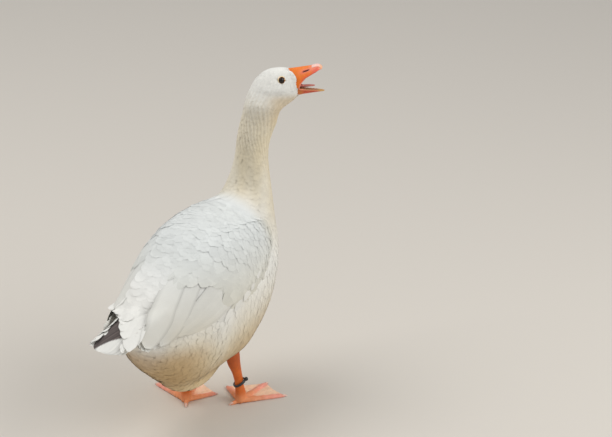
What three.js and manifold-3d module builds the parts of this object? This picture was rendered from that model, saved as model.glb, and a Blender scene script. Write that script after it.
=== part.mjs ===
// A life-size domestic goose, standing, with its head turned to its right and its bill open.
// Millimetres, +Z up. The goose faces -Y, so its right side is at -X. The origin is on the
// floor, under the middle of the model's box.
import * as THREE from 'three';
import { mergeVertices } from 'three/addons/utils/BufferGeometryUtils.js';
import Module from 'manifold-3d';

const wasm = await Module();
wasm.setup();

// ---------------------------------------------------------------- driving dimensions
const GAP = 0.3;                  // between neighbouring solids

const BODY_AT = [12, -8, -7];     // the body's frame over the feet: forward, right, up
const HEAD_AT = [197, 45, 705];   // middle of the head, level with the eyes, in that frame
const HEAD_TURN = 54;             // degrees to the goose's right
const HEAD_ROLL = 13;             // degrees, crown away from the side it looks to
const NECK_AXIS = 152;            // the upright part of the neck, forward of the feet

const EYE_RADIUS = 8;
const EYE_ASIDE = 15.4;           // from the middle of the head to the middle of an eye
const EYE_DROP = 4;               // below the head's middle

const WING_PROUD = 5;             // how far a folded wing stands out from the trunk
const WING_SUNK = 8;              // and how far it reaches in

const THIGH_END = 118;            // where the feathers end and the bare shank shows
const SHANK_TOP = 146;            // top of the shank, inside the thigh
const ANKLE = 24;                 // where foot and shank meet
const WEB_TOP = 3.6;              // over the floor
const WEB_THICK = 2.4;
const WEB_REACH = 0.88;           // of each toe's length
const WEB_DRAWN_IN = 0.74;        // where the free edge bends to, of the shorter toe
const MIDDLE_TOE = 100;           // from the ankle to the tip of the claw
const OUTER_TOE = 104;
const INNER_TOE = 74;
const HIND_TOE = 28;

const RING_RADIUS = 13.4;         // leg ring, to the middle of its band
const RING_THICK = 1.7;
const RING_HEIGHT = 3.4;
const RING_KNOB = 4.3;            // radius of the round catch
const RING_KNOB_SUNK = 0.6;       // how far the catch reaches into the band
const RING_TILT = 30;             // the ring lies tilted, with the catch high
const RING_CATCH_TURN = 216;      // the catch is at the front right of the leg
const RING_FORWARD = 1.8;         // from the ankle
const RING_OUT = -3.6;
const RING_UP = 47;

// Foot: ankle forward and right of the origin, heading to the right, toes' spread
const FEET = {
  right: { side: 1, ankle: [30, 55], heading: 0, outer: 40, inner: -62, hind: -160 },
  left: { side: -1, ankle: [-36, -43], heading: -22, outer: -56, inner: 52, hind: 165 },
};

// ---------------------------------------------------------------- frames
// A frame turns lengths along, to the right and up into the model's X, Y and Z.
const radians = THREE.MathUtils.degToRad;
const UP = new THREE.Vector3(0, 0, 1);

function frame([forward, right, up], turn, roll = 0) {
  const along = new THREE.Vector3(-Math.sin(radians(turn)), -Math.cos(radians(turn)), 0);
  const side = along.clone().cross(UP).applyAxisAngle(along, radians(-roll));
  const rise = UP.clone().applyAxisAngle(along, radians(-roll));
  const origin = new THREE.Vector3(-right, -forward, up);
  return (x, y, z) => origin.clone().addScaledVector(along, x).addScaledVector(side, y)
    .addScaledVector(rise, z);
}

function bodyFrame(origin, turn = 0, roll = 0) {
  return frame(origin.map((value, axis) => value + BODY_AT[axis]), turn, roll);
}

const trunkFrame = bodyFrame([0, 0, 0]);
const headFrame = bodyFrame(HEAD_AT, HEAD_TURN, HEAD_ROLL);

// ---------------------------------------------------------------- closed meshes and solids
// Rings of equal length become a closed skin, with a fan over each end.
function loft(rings) {
  const sides = rings[0].length;
  const points = rings.flat();
  const triangles = [];
  for (let ring = 0; ring + 1 < rings.length; ring += 1) {
    for (let side = 0; side < sides; side += 1) {
      const a = ring * sides + side;
      const b = ring * sides + (side + 1) % sides;
      triangles.push(a, b, b + sides, a, b + sides, a + sides);
    }
  }
  for (const ring of [0, rings.length - 1]) {
    const middle = new THREE.Vector3();
    rings[ring].forEach((point) => middle.addScaledVector(point, 1 / sides));
    points.push(middle);
    for (let side = 0; side < sides; side += 1) {
      const a = ring * sides + side;
      const b = ring * sides + (side + 1) % sides;
      triangles.push(...(ring === 0 ? [b, a] : [a, b]), points.length - 1);
    }
  }
  const geometry = new THREE.BufferGeometry().setFromPoints(points);
  geometry.setIndex(triangles);
  return toSolid(geometry);
}

function insideOut(geometry) {
  const index = Array.from(geometry.index.array);
  for (let i = 0; i < index.length; i += 3) {
    [index[i], index[i + 1]] = [index[i + 1], index[i]];
  }
  geometry.setIndex(index);
  return geometry;
}

function toSolid(geometry) {
  geometry.deleteAttribute('normal');
  geometry.deleteAttribute('uv');
  const merged = mergeVertices(geometry, 1e-4);
  const solid = new wasm.Manifold(new wasm.Mesh({
    numProp: 3,
    vertProperties: new Float32Array(merged.attributes.position.array),
    triVerts: new Uint32Array(merged.index.array),
  }));
  return solid.volume() < 0 ? toSolid(insideOut(merged)) : solid;
}

function toGeometry(solid) {
  const { vertProperties, triVerts } = solid.getMesh();
  const geometry = new THREE.BufferGeometry();
  geometry.setAttribute('position', new THREE.BufferAttribute(vertProperties, 3));
  geometry.setIndex(new THREE.BufferAttribute(triVerts, 1));
  geometry.computeVertexNormals();
  return geometry;
}

// Cutting faceted skins close to one another can leave a crumb: the largest piece is the part.
function largestPiece(solid) {
  return solid.decompose().reduce((most, piece) => (piece.volume() > most.volume() ? piece : most));
}

// The part of a solid on the side of a plane that its normal points to.
function keepSide(solid, point, normal, clearance = GAP / 2) {
  const reach = 2000;
  const block = new THREE.BoxGeometry(reach, reach, reach);
  block.translate(0, 0, reach / 2 + clearance);
  block.applyQuaternion(new THREE.Quaternion().setFromUnitVectors(UP, normal.clone().normalize()));
  block.translate(point.x, point.y, point.z);
  return solid.intersect(toSolid(block));
}

// A value for each station, joined by a smooth curve that runs from 0 to 1.
function smooth(values) {
  const curve = new THREE.CatmullRomCurve3(
    values.map((value) => (value.isVector3 ? value : new THREE.Vector3(value, 0, 0))),
    false, 'catmullrom', 0.5);
  return (t) => curve.getPoint(THREE.MathUtils.clamp(t, 0, 1));
}

// ---------------------------------------------------------------- sections along a form
// A station is a section: its frame, its top and its bottom (along, up), half its width,
// how far down it is widest (0 to 1), and how full it is above and below that. Fullness 1
// is an ellipse, less is squarer and more is narrower.
function form(stations) {
  const top = smooth(stations.map(([place, [x, z]]) => place(x, 0, z)));
  const bottom = smooth(stations.map(([place, , [x, z]]) => place(x, 0, z)));
  const side = smooth(stations.map(([place]) => place(0, 1, 0).sub(place(0, 0, 0))));
  const half = smooth(stations.map(([, , , value]) => value));
  const widest = smooth(stations.map(([, , , , value = 0.5]) => value));
  const above = smooth(stations.map(([, , , , , value = 1]) => value));
  const below = smooth(stations.map(([, , , , , , value = 1]) => value));
  // angle runs from the top (0) over the right side (90) to the bottom (180)
  return (t, angle) => {
    const high = top(t);
    const low = bottom(t);
    const middle = high.clone().lerp(low, widest(t).x);
    const height = Math.cos(radians(angle));
    const width = Math.sin(radians(angle));
    const fullness = height > 0 ? above(t).x : below(t).x;
    return middle.clone()
      .addScaledVector((height > 0 ? high : low).sub(middle), Math.abs(height))
      .addScaledVector(side(t).normalize(),
        half(t).x * Math.sign(width) * Math.abs(width) ** fullness);
  };
}

function formSolid(point, rings, sides) {
  return loft(Array.from({ length: rings }, (_, ring) =>
    Array.from({ length: sides }, (__, side) => point(ring / (rings - 1), (360 * side) / sides))));
}

// ---------------------------------------------------------------- body, rump to face
const neckFrame = (turn, right, forward = 0) =>
  bodyFrame([NECK_AXIS + forward, right, 0], turn);
const BODY = [
  [trunkFrame, [-270, 312], [-262, 262], 26, 0.5],
  [trunkFrame, [-250, 328], [-252, 224], 50, 0.5],
  [trunkFrame, [-205, 360], [-218, 164], 79, 0.46, 0.9, 0.92],
  [trunkFrame, [-145, 399], [-160, 109], 106, 0.44, 0.85, 0.92],
  [trunkFrame, [-80, 433], [-94, 104], 122, 0.45, 0.82, 0.94],
  [trunkFrame, [-12, 449], [-14, 112], 124, 0.44, 0.82, 0.83],
  [trunkFrame, [48, 453], [77, 140], 111.5, 0.42, 0.85, 0.78],
  [trunkFrame, [88, 461], [136, 188], 94.5, 0.43, 0.9, 0.95],
  [trunkFrame, [107, 475], [166, 252], 79, 0.45],
  [trunkFrame, [115, 496], [176, 330], 62, 0.46],
  [trunkFrame, [118, 520], [184, 400], 49, 0.48],
  [trunkFrame, [119, 546], [186, 460], 39, 0.5],
  [neckFrame(6, 0), [-33, 572], [34, 522], 33, 0.5],
  [neckFrame(20, 3, 3), [-32, 598], [35, 562], 32, 0.5],
  [neckFrame(38, 9, 10), [-34, 623], [39, 600], 31, 0.5],
  [headFrame, [-79, -58], [-3, -73], 29.5, 0.5],
  [headFrame, [-70, -31], [13, -59], 27, 0.52],
  [headFrame, [-56, -5], [25, -50], 26, 0.55],
  [headFrame, [-34, 14.5], [31, -45], 25, 0.55],
  [headFrame, [-10, 20.5], [35, -41], 22.5, 0.52],
  [headFrame, [6, 20.2], [36, -39], 18, 0.5],
  [headFrame, [16.5, 18.9], [36.8, -37.5], 14, 0.5],
];
const BODY_RINGS = 40;
const BODY_SIDES = 20;
const bodyPoint = form(BODY);
const stationAt = (number) => number / (BODY.length - 1);

function bodyPointOut(t, angle, out) {
  const [step, turn] = [0.004, 2];
  const ahead = bodyPoint(t + step, angle).sub(bodyPoint(t - step, angle));
  const round = bodyPoint(t, angle + turn).sub(bodyPoint(t, angle - turn));
  return bodyPoint(t, angle).addScaledVector(ahead.cross(round).normalize(), out);
}

// The paunch hangs between the legs as a lobe with steep sides.
const PAUNCH = [
  [-176, 190, 122, 26],
  [-152, 200, 90, 42],
  [-118, 205, 74, 52],
  [-82, 205, 68, 56],
  [-48, 205, 69, 53],
  [-20, 205, 78, 44],
  [0, 200, 100, 28],
];
const PAUNCH_FULLNESS = 0.62;

const paunch = () => formSolid(form(PAUNCH.map(([at, top, bottom, half]) =>
  [trunkFrame, [at, top], [at, bottom], half, 0.4, 1, PAUNCH_FULLNESS])), 9, 14);

// ---------------------------------------------------------------- folded wings
// A wing is a shell on the trunk's side, from the shoulder back to the tips over the rump.
// Each station: place along the body, and the angles of its upper and lower edge.
const WING = [
  [stationAt(7.4), 55, 66],
  [stationAt(6.8), 34, 76],
  [stationAt(6), 22, 82],
  [stationAt(5), 14, 88],
  [stationAt(4), 11, 89],
  [stationAt(3), 10, 91],
  [stationAt(2.2), 10, 92],
  [stationAt(1.6), 14, 98],
  [stationAt(1), 24, 110],
  [stationAt(0.6), 36, 106],
  [stationAt(0.35), 52, 88],
];
const WING_RINGS = 15;
const WING_ACROSS = 7;
const WING_END = 0.3;             // thickness at either end, as a share of the full one
const WING_THICKENS = 4;          // how fast it grows from there, over the wing's run
const WING_EDGE = 4;              // power of the curve that rounds the long edges
const WING_GROW_ALONG = 0.004;    // of the body's run, for each millimetre grown
const WING_GROW_ROUND = 1.6;      // degrees round the trunk, for each millimetre grown

function wing(side, grow = 0) {
  const place = smooth(WING.map(([t]) => t));
  const upper = smooth(WING.map(([, angle]) => angle));
  const lower = smooth(WING.map(([, , angle]) => angle));
  const rings = Array.from({ length: WING_RINGS }, (_, ring) => {
    const v = ring / (WING_RINGS - 1);
    const longer = grow * WING_GROW_ALONG * (1 - 2 * v);
    const along = place(v).x + longer;
    const first = upper(v).x - grow * WING_GROW_ROUND;
    const last = lower(v).x + grow * WING_GROW_ROUND;
    const taper = Math.min(1, WING_END + WING_THICKENS * Math.min(v, 1 - v));
    const edge = (u) => taper * Math.sqrt(1 - Math.abs(2 * u - 1) ** WING_EDGE);
    const at = (u, proud) => bodyPointOut(along, side * (first + u * (last - first)),
      side * (proud * edge(u) + Math.sign(edge(u) * proud) * grow));
    const out = Array.from({ length: WING_ACROSS + 1 }, (__, i) => i / WING_ACROSS)
      .map((u) => at(u, WING_PROUD));
    const back = Array.from({ length: WING_ACROSS - 1 }, (__, i) => 1 - (i + 1) / WING_ACROSS)
      .map((u) => at(u, -WING_SUNK));
    return [...out, ...back];
  });
  return loft(rings).add(wingTip(side, grow));
}

// The long feathers' tips, which reach past the shell over the root of the tail. Each
// section: how far back and to the side, its top and bottom, and half its thickness.
const WING_TIP = [
  [-205, 62, 344, 262, 10],
  [-240, 54, 336, 254, 10],
  [-266, 46, 322, 254, 9],
  [-284, 40, 310, 262, 6],
  [-296, 37, 300, 272, 2.5],
];

function wingTip(side, grow) {
  return formSolid(form(WING_TIP.map(([back, aside, top, bottom, half]) =>
    [bodyFrame([0, side * aside, 0]), [back, top + grow], [back, bottom - grow], half + grow])),
  7, 12);
}

// ---------------------------------------------------------------- tail
const TAIL = [
  [trunkFrame, [-222, 340], [-222, 262], 28, 0.5],
  [trunkFrame, [-262, 326], [-262, 262], 36, 0.5],
  [trunkFrame, [-300, 307], [-300, 271], 40, 0.5],
  [trunkFrame, [-330, 293], [-330, 274], 42, 0.5],
  [trunkFrame, [-350, 283.5], [-350, 275], 39, 0.5],
  [trunkFrame, [-362, 278.6], [-362, 275.6], 28, 0.5],
];
const tail = (grow = 0) => formSolid(form(TAIL.map(([place, [x, z], [x2, z2], half, widest]) =>
  [place, [x, z + grow], [x2, z2 - grow], half + grow, widest])), 9, 14);

// ---------------------------------------------------------------- bill, tongue, eyes
const UPPER_BILL = [
  [headFrame, [16.9, 18.7], [36.7, -21.8], 13.6, 0.62, 0.85, 0.7],
  [headFrame, [25, 19.6], [40.4, -11.5], 13.8, 0.7, 0.85, 0.6],
  [headFrame, [35, 21], [46, -4.5], 13.4, 0.78, 0.85, 0.6],
  [headFrame, [46, 22.6], [55, 1.5], 12.4, 0.8, 0.85, 0.6],
  [headFrame, [58, 24.3], [65, 7.4], 11.2, 0.8, 0.85, 0.6],
  [headFrame, [67, 26], [72, 11.6], 10.6, 0.8, 0.85, 0.6],
  [headFrame, [75, 27.7], [77, 14.8], 9.4, 0.75, 0.9, 0.7],
  [headFrame, [82, 25.6], [81.5, 16.4], 6.8, 0.65, 0.95, 0.8],
  [headFrame, [86, 21.6], [84.5, 17.6], 3, 0.5],
];
const LOWER_BILL = [
  [headFrame, [37.2, -22.8], [38.6, -39], 11.6, 0.26, 0.7, 0.9],
  [headFrame, [48, -23.6], [49, -37], 11.2, 0.28, 0.6, 0.9],
  [headFrame, [62, -25], [63, -34.4], 10.2, 0.32, 0.6, 0.9],
  [headFrame, [76, -26.4], [76.5, -32], 8.6, 0.4, 0.6, 0.9],
  [headFrame, [86, -27], [86, -30.4], 5.6, 0.5],
  [headFrame, [90.5, -27.8], [90.5, -29.4], 2.2, 0.5],
];
const TONGUE = [
  [headFrame, [42.4, -15.4], [42.8, -21.8], 5.8, 0.5, 0.9, 0.9],
  [headFrame, [48, -16], [48.6, -21.6], 6.4, 0.5, 0.8, 0.9],
  [headFrame, [58, -15.6], [58.6, -20.4], 5.8, 0.5, 0.8, 0.9],
  [headFrame, [67, -16], [67.4, -19.4], 3.6, 0.5],
  [headFrame, [70.4, -17], [70.4, -18.6], 1.4, 0.5],
];

function eyeball(side, grow = 0) {
  const ball = new THREE.SphereGeometry(EYE_RADIUS + grow, 14, 9);
  const at = headFrame(0, side * EYE_ASIDE, -EYE_DROP);
  ball.translate(at.x, at.y, at.z);
  return toSolid(ball);
}

// ---------------------------------------------------------------- legs and feet
function legFrame({ ankle: [forward, right] }) {
  return frame([forward, right, 0], 0);
}

// The feathered thigh swells out of the trunk's side. Each section: how far out from the
// ankle it lies, its front and its back, its height, and half its width.
const THIGH = [
  [6, 42, -78, 240, 26],
  [6, 42, -74, 200, 37],
  [1, 30, -56, 164, 33],
  [-4, 15, -42, 140, 24],
  [-6, 7, -34, THIGH_END, 16],
];

function thigh(foot) {
  const place = legFrame(foot);
  return formSolid(form(THIGH.map(([out, front, back, z, half]) =>
    [(x, y, up) => place(x, y + foot.side * out, up), [front, z], [back, z], half])), 9, 14);
}

// The bare shank stands on the foot and is let into the thigh. Each section: how far out
// from the ankle it lies, its front and its back, its height, and half its width.
const SHANK = [
  [0, 12, -12, 8, 11],
  [-1, 13, -10, ANKLE, 9.4],
  [-4, 13, -10, 50, 8],
  [-5, 8, -17, 76, 8.8],
  [-6, 4, -29, 102, 11.8],
  [-6, 2, -33, 122, 12.6],
  [-6, -2, -30, SHANK_TOP, 10],
];

function shank(foot, grow = 0) {
  const place = legFrame(foot);
  return formSolid(form(SHANK.map(([out, front, back, z, half]) =>
    [(x, y, up) => place(x, y + foot.side * out, up),
      [front + grow, z + grow], [back - grow, z + grow], half + grow])), 12, 12);
}

// A front toe. Each section: how far along the toe, its height as a share of the toe's
// rise, how far it would reach under the floor, and half its width.
const TOE = [
  [-0.06, 1.6, -4, 7],
  [0.1, 1.5, -3, 6.6],
  [0.35, 1, -2, 5.4],
  [0.6, 0.8, -1.5, 4.6],
  [0.82, 0.72, -1, 3.8],
  [0.92, 0.5, -0.5, 2.4],
  [1, 0.2, 0, 0.9],
];

function toe(foot, length, turn, rise) {
  const place = frame([...foot.ankle, 0], foot.heading + turn);
  return formSolid(form(TOE.map(([share, height, under, half]) =>
    [place, [length * share, rise * height], [length * share, under], half])), 8, 7);
}

// The web between two toes: straight along each toe and drawn in at its free edge.
function web(foot, [lengthA, turnA], [lengthB, turnB]) {
  const at = (turn, length) => new THREE.Vector2(
    length * Math.cos(radians(turn)), length * Math.sin(radians(turn)));
  const tipA = at(turnA, lengthA * WEB_REACH);
  const tipB = at(turnB, lengthB * WEB_REACH);
  const drawn = at((turnA + turnB) / 2, Math.min(lengthA, lengthB) * WEB_REACH * WEB_DRAWN_IN);
  const outline = new THREE.Shape();
  outline.moveTo(0, 0);
  outline.lineTo(tipA.x, tipA.y);
  outline.quadraticCurveTo(drawn.x, drawn.y, tipB.x, tipB.y);
  outline.lineTo(0, 0);
  const sheet = new THREE.ExtrudeGeometry(outline,
    { depth: WEB_THICK, bevelEnabled: false, curveSegments: 4 });
  const place = frame([...foot.ankle, WEB_TOP - WEB_THICK], foot.heading);
  const position = sheet.attributes.position;
  for (let i = 0; i < position.count; i += 1) {
    const point = place(position.getX(i), position.getY(i), position.getZ(i));
    position.setXYZ(i, point.x, point.y, point.z);
  }
  return toSolid(sheet);
}

function footSolid(foot) {
  const middle = [MIDDLE_TOE, 0];
  const outer = [OUTER_TOE, foot.outer];
  const inner = [INNER_TOE, foot.inner];
  const hind = frame([...foot.ankle, 0], foot.heading + foot.hind);
  const whole = [
    toe(foot, ...middle, 8.6), toe(foot, ...outer, 8), toe(foot, ...inner, 7.6),
    web(foot, middle, outer), web(foot, middle, inner), shank(foot),
    formSolid(form([
      [hind, [4, 16], [4, 4], 4.6],
      [hind, [12, 12], [12, 2], 3.8],
      [hind, [HIND_TOE - 5, 6.5], [HIND_TOE - 5, 0.4], 2.4],
      [hind, [HIND_TOE, 2], [HIND_TOE, 0.3], 0.8],
    ]), 6, 6),
  ].reduce((sum, piece) => sum.add(piece));
  const above = keepSide(whole, new THREE.Vector3(), UP, 0);
  return keepSide(above, new THREE.Vector3(0, 0, ANKLE), UP.clone().negate());
}

// The leg ring hangs loose and tilted round the shank, with its catch high at the front.
function legRing(foot) {
  const [inside, outside] = [RING_RADIUS - RING_THICK / 2, RING_RADIUS + RING_THICK / 2];
  const edge = RING_HEIGHT / 2;
  const profile = [[inside, -edge], [outside, -edge], [outside, edge], [inside, edge],
    [inside, -edge]].map(([x, y]) => new THREE.Vector2(x, y));
  const band = new THREE.LatheGeometry(profile, 18);
  const knob = new THREE.SphereGeometry(RING_KNOB, 8, 6);
  knob.translate(RING_RADIUS + RING_KNOB - RING_KNOB_SUNK, 0, 0);
  const at = legFrame(foot)(RING_FORWARD, foot.side * RING_OUT, RING_UP);
  const [hung, caught] = [band, knob].map((geometry) => {
    geometry.rotateZ(radians(RING_TILT));
    geometry.rotateX(Math.PI / 2);
    geometry.rotateZ(radians(RING_CATCH_TURN));
    geometry.translate(at.x, at.y, at.z);
    return toSolid(geometry);
  });
  return hung.add(caught);
}

// ---------------------------------------------------------------- parting the body
const CUTS = {
  face: { at: trunkFrame(172, 20, 655), normal: new THREE.Vector3(-0.3, -0.25, 1) },
  neckMiddle: { at: trunkFrame(152, 0, 560), normal: new THREE.Vector3(0, -0.1, 1) },
  neckBase: { at: trunkFrame(155, 0, 450), normal: new THREE.Vector3(0, -0.75, 1) },
};

function buildNodes() {
  const whole = formSolid(bodyPoint, BODY_RINGS, BODY_SIDES);
  const { face, neckMiddle, neckBase } = CUTS;
  const below = (solid, cut) => keepSide(solid, cut.at, cut.normal.clone().negate());
  const above = (solid, cut) => keepSide(solid, cut.at, cut.normal);
  const cutAll = (solid, cutters) => cutters.reduce((rest, cutter) => rest.subtract(cutter), solid);
  const { right, left } = FEET;

  const body = below(whole, neckBase).add(paunch()).add(thigh(right)).add(thigh(left));
  const trunk = largestPiece(cutAll(body,
    [wing(1, GAP), wing(-1, GAP), tail(GAP), shank(right, GAP), shank(left, GAP)]));
  const aboveAnkle = (foot) => keepSide(shank(foot), new THREE.Vector3(0, 0, ANKLE), UP);
  return {
    head: cutAll(above(whole, face), [eyeball(1, GAP), eyeball(-1, GAP)]),
    neck_upper: below(above(whole, neckMiddle), face),
    neck_lower: below(above(whole, neckBase), neckMiddle),
    trunk,
    wing_right: wing(1).subtract(tail(GAP)),
    wing_left: wing(-1).subtract(tail(GAP)),
    tail: tail(),
    leg_right: aboveAnkle(right),
    leg_left: aboveAnkle(left),
    foot_right: footSolid(right),
    foot_left: footSolid(left),
    leg_ring: legRing(right),
    upper_bill: formSolid(form(UPPER_BILL), 14, 14),
    lower_bill: formSolid(form(LOWER_BILL), 9, 12),
    tongue: formSolid(form(TONGUE), 7, 8),
    eye_right: eyeball(1),
    eye_left: eyeball(-1),
  };
}

// ---------------------------------------------------------------- colours and the group
const FINISHES = {
  plumage: { color: 0xe8e5dc, roughness: 0.85 },
  neckPlumage: { color: 0xd6cdb8, roughness: 0.88 },
  bill: { color: 0xe98743, roughness: 0.45 },
  tongue: { color: 0xc9837a, roughness: 0.4 },
  eye: { color: 0x2b1a12, roughness: 0.1 },
  leg: { color: 0xcf7438, roughness: 0.6 },
  foot: { color: 0xdd9770, roughness: 0.6 },
  ring: { color: 0x35393b, roughness: 0.55 },
};
const finishOf = (name) => {
  if (name.includes('bill')) return FINISHES.bill;
  if (name.startsWith('neck')) return FINISHES.neckPlumage;
  return FINISHES[['tongue', 'eye', 'foot', 'leg_ring', 'leg'].find((part) => name.startsWith(part))
    ?.replace('leg_ring', 'ring')] ?? FINISHES.plumage;
};

const goose = new THREE.Group();
for (const [name, solid] of Object.entries(buildNodes())) {
  const material = new THREE.MeshStandardMaterial({ metalness: 0, ...finishOf(name) });
  const mesh = new THREE.Mesh(toGeometry(solid), material);
  mesh.name = name;
  goose.add(mesh);
}
const box = new THREE.Box3().setFromObject(goose);
const centre = box.getCenter(new THREE.Vector3());
goose.position.set(-centre.x, -centre.y, -box.min.z);

export default goose;
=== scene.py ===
"""A white domestic goose, standing, with its head turned to its right and its bill open.

Metres, +Z up. The goose faces -Y, so its right side is at -X. One skin is measured from the
solids of head, neck, trunk, tail and wings, and lies inside them by the depth of the coat.
The feathers are vanes laid over it, along the lie of the coat.
"""
import math

import bmesh
import bpy
import numpy as np
from mathutils import Matrix, Vector
from mathutils.bvhtree import BVHTree


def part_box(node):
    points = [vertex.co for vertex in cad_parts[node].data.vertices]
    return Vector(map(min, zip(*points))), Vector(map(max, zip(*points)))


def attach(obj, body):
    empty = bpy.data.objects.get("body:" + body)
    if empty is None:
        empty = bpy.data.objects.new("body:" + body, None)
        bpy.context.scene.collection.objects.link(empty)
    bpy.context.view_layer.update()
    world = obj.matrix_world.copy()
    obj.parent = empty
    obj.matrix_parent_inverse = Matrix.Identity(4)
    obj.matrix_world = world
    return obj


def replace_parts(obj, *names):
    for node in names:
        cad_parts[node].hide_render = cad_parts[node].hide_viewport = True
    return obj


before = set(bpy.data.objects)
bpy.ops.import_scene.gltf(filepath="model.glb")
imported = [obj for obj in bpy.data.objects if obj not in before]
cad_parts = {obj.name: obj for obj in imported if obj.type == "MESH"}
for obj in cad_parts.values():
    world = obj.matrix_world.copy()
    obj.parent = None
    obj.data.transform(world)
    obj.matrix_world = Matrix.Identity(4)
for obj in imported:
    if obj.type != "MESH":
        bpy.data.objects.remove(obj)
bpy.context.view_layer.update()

MM = 0.001
UP = np.array([0.0, 0.0, 1.0])

# ---------------- places, in millimetres
BODY_AT = (12, -8, -7)            # the body's frame over the feet: forward, right, up
HEAD_AT = (197, 45, 705)          # middle of the head, level with the eyes, in that frame
HEAD_TURN = 54                    # degrees to the goose's right
HEAD_ROLL = 13                    # degrees, crown away from the side it looks to
NECK_AXIS = 152                   # the upright part of the neck, forward of the feet
EYE_ASIDE = 15.4                  # from the middle of the head to the middle of an eye
EYE_DROP = 4                      # below the head's middle

CAMERA_HEADING = 36               # degrees from the goose's heading, to its left
CAMERA_PITCH = 26                 # degrees down
CAMERA_DISTANCE = 5.0             # to the point of the floor between the feet
IMAGE = (612, 437)
FEET_PIXEL = (212, 400)           # where that point shows
FOCAL_PIXELS = 2300


class Place:
    """A frame on the goose: along its heading, to its right, and up."""

    shift = np.zeros(3)

    def __init__(self, origin, turn=0.0, roll=0.0):
        turn, roll = math.radians(turn), math.radians(roll)
        self.along = np.array([-math.sin(turn), -math.cos(turn), 0.0])
        level = np.cross(self.along, UP)
        self.side = level * math.cos(roll) + UP * math.sin(roll)
        self.rise = UP * math.cos(roll) - level * math.sin(roll)
        forward, right, up = origin
        self.origin = np.array([-right, -forward, up]) * MM

    def __call__(self, x, y, z):
        """Metres in the model's frame, from millimetres in this one."""
        x, y, z = (np.asarray(value, float)[..., None] * MM for value in (x, y, z))
        return Place.shift + self.origin + x * self.along + y * self.side + z * self.rise

    def inverse(self, points):
        """Millimetres in this frame, from metres in the model's."""
        rest = points - Place.shift - self.origin
        return tuple(rest @ axis / MM for axis in (self.along, self.side, self.rise))


def body_place(origin, turn=0.0, roll=0.0):
    return Place([value + at for value, at in zip(origin, BODY_AT)], turn, roll)


def neck_place(turn, right, forward=0):
    return body_place((NECK_AXIS + forward, right, 0), turn)


TRUNK = body_place((0, 0, 0))
HEAD = body_place(HEAD_AT, HEAD_TURN, HEAD_ROLL)
eye_corners = [np.array(corner) for side in ("right", "left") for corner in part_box("eye_" + side)]
Place.shift = (sum(eye_corners) / len(eye_corners) - HEAD(0, 0, -EYE_DROP)) * (1, 1, 0)


# ---------------- curves and sheets
def catmull(values, t):
    """Values at stations 0, 1, 2, ..., joined by a smooth curve and read at t."""
    values = np.asarray(values, float)
    padded = np.concatenate([[2 * values[0] - values[1]], values, [2 * values[-1] - values[-2]]])
    t = np.clip(np.asarray(t, float), 0, len(values) - 1)
    index = np.minimum(t.astype(int), len(values) - 2)
    u = t - index
    if values.ndim > 1:
        u = u[..., None]
    a, b, c, d = (padded[index + k] for k in range(4))
    return 0.5 * (2 * b + (c - a) * u + (2 * a - 5 * b + 4 * c - d) * u ** 2
                  + (3 * b - a - 3 * c + d) * u ** 3)


def unit(vectors):
    return vectors / np.maximum(np.linalg.norm(vectors, axis=-1, keepdims=True), 1e-12)


def dot(a, b):
    """The vectors' products, with a last axis of length 1."""
    return (a * b).sum(-1, keepdims=True)


def turns(count):
    """Angles at this many even steps round a circle."""
    return 2 * np.pi * np.arange(count) / count


def ramp(value, low, high):
    """0 below low, 1 above high, and smooth between them."""
    u = np.clip((value - low) / (high - low), 0, 1)
    return u * u * (3 - 2 * u)


def bell(value, middle, width, power=2):
    """1 at the middle, falling smoothly towards 0 on both sides."""
    return np.exp(-((value - middle) / width) ** power)


def capped(rings):
    """Rings of points, with each end drawn in to its middle by one ring more."""
    first, last = (np.broadcast_to(ring.mean(0), ring.shape)[None] for ring in (rings[0], rings[-1]))
    return np.concatenate([first, rings, last])


def blur(grid, sigma, axis, wrap=False):
    """A grid smoothed along one axis."""
    reach = int(math.ceil(3 * sigma))
    weights = np.exp(-0.5 * (np.arange(-reach, reach + 1) / sigma) ** 2)
    pad = [(0, 0)] * grid.ndim
    pad[axis] = (reach, reach)
    padded = np.pad(grid, pad, mode="wrap" if wrap else "edge")
    size = grid.shape[axis]
    shifted = (np.take(padded, np.arange(k, k + size), axis) for k in range(2 * reach + 1))
    return sum(w * s for w, s in zip(weights / weights.sum(), shifted))


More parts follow.
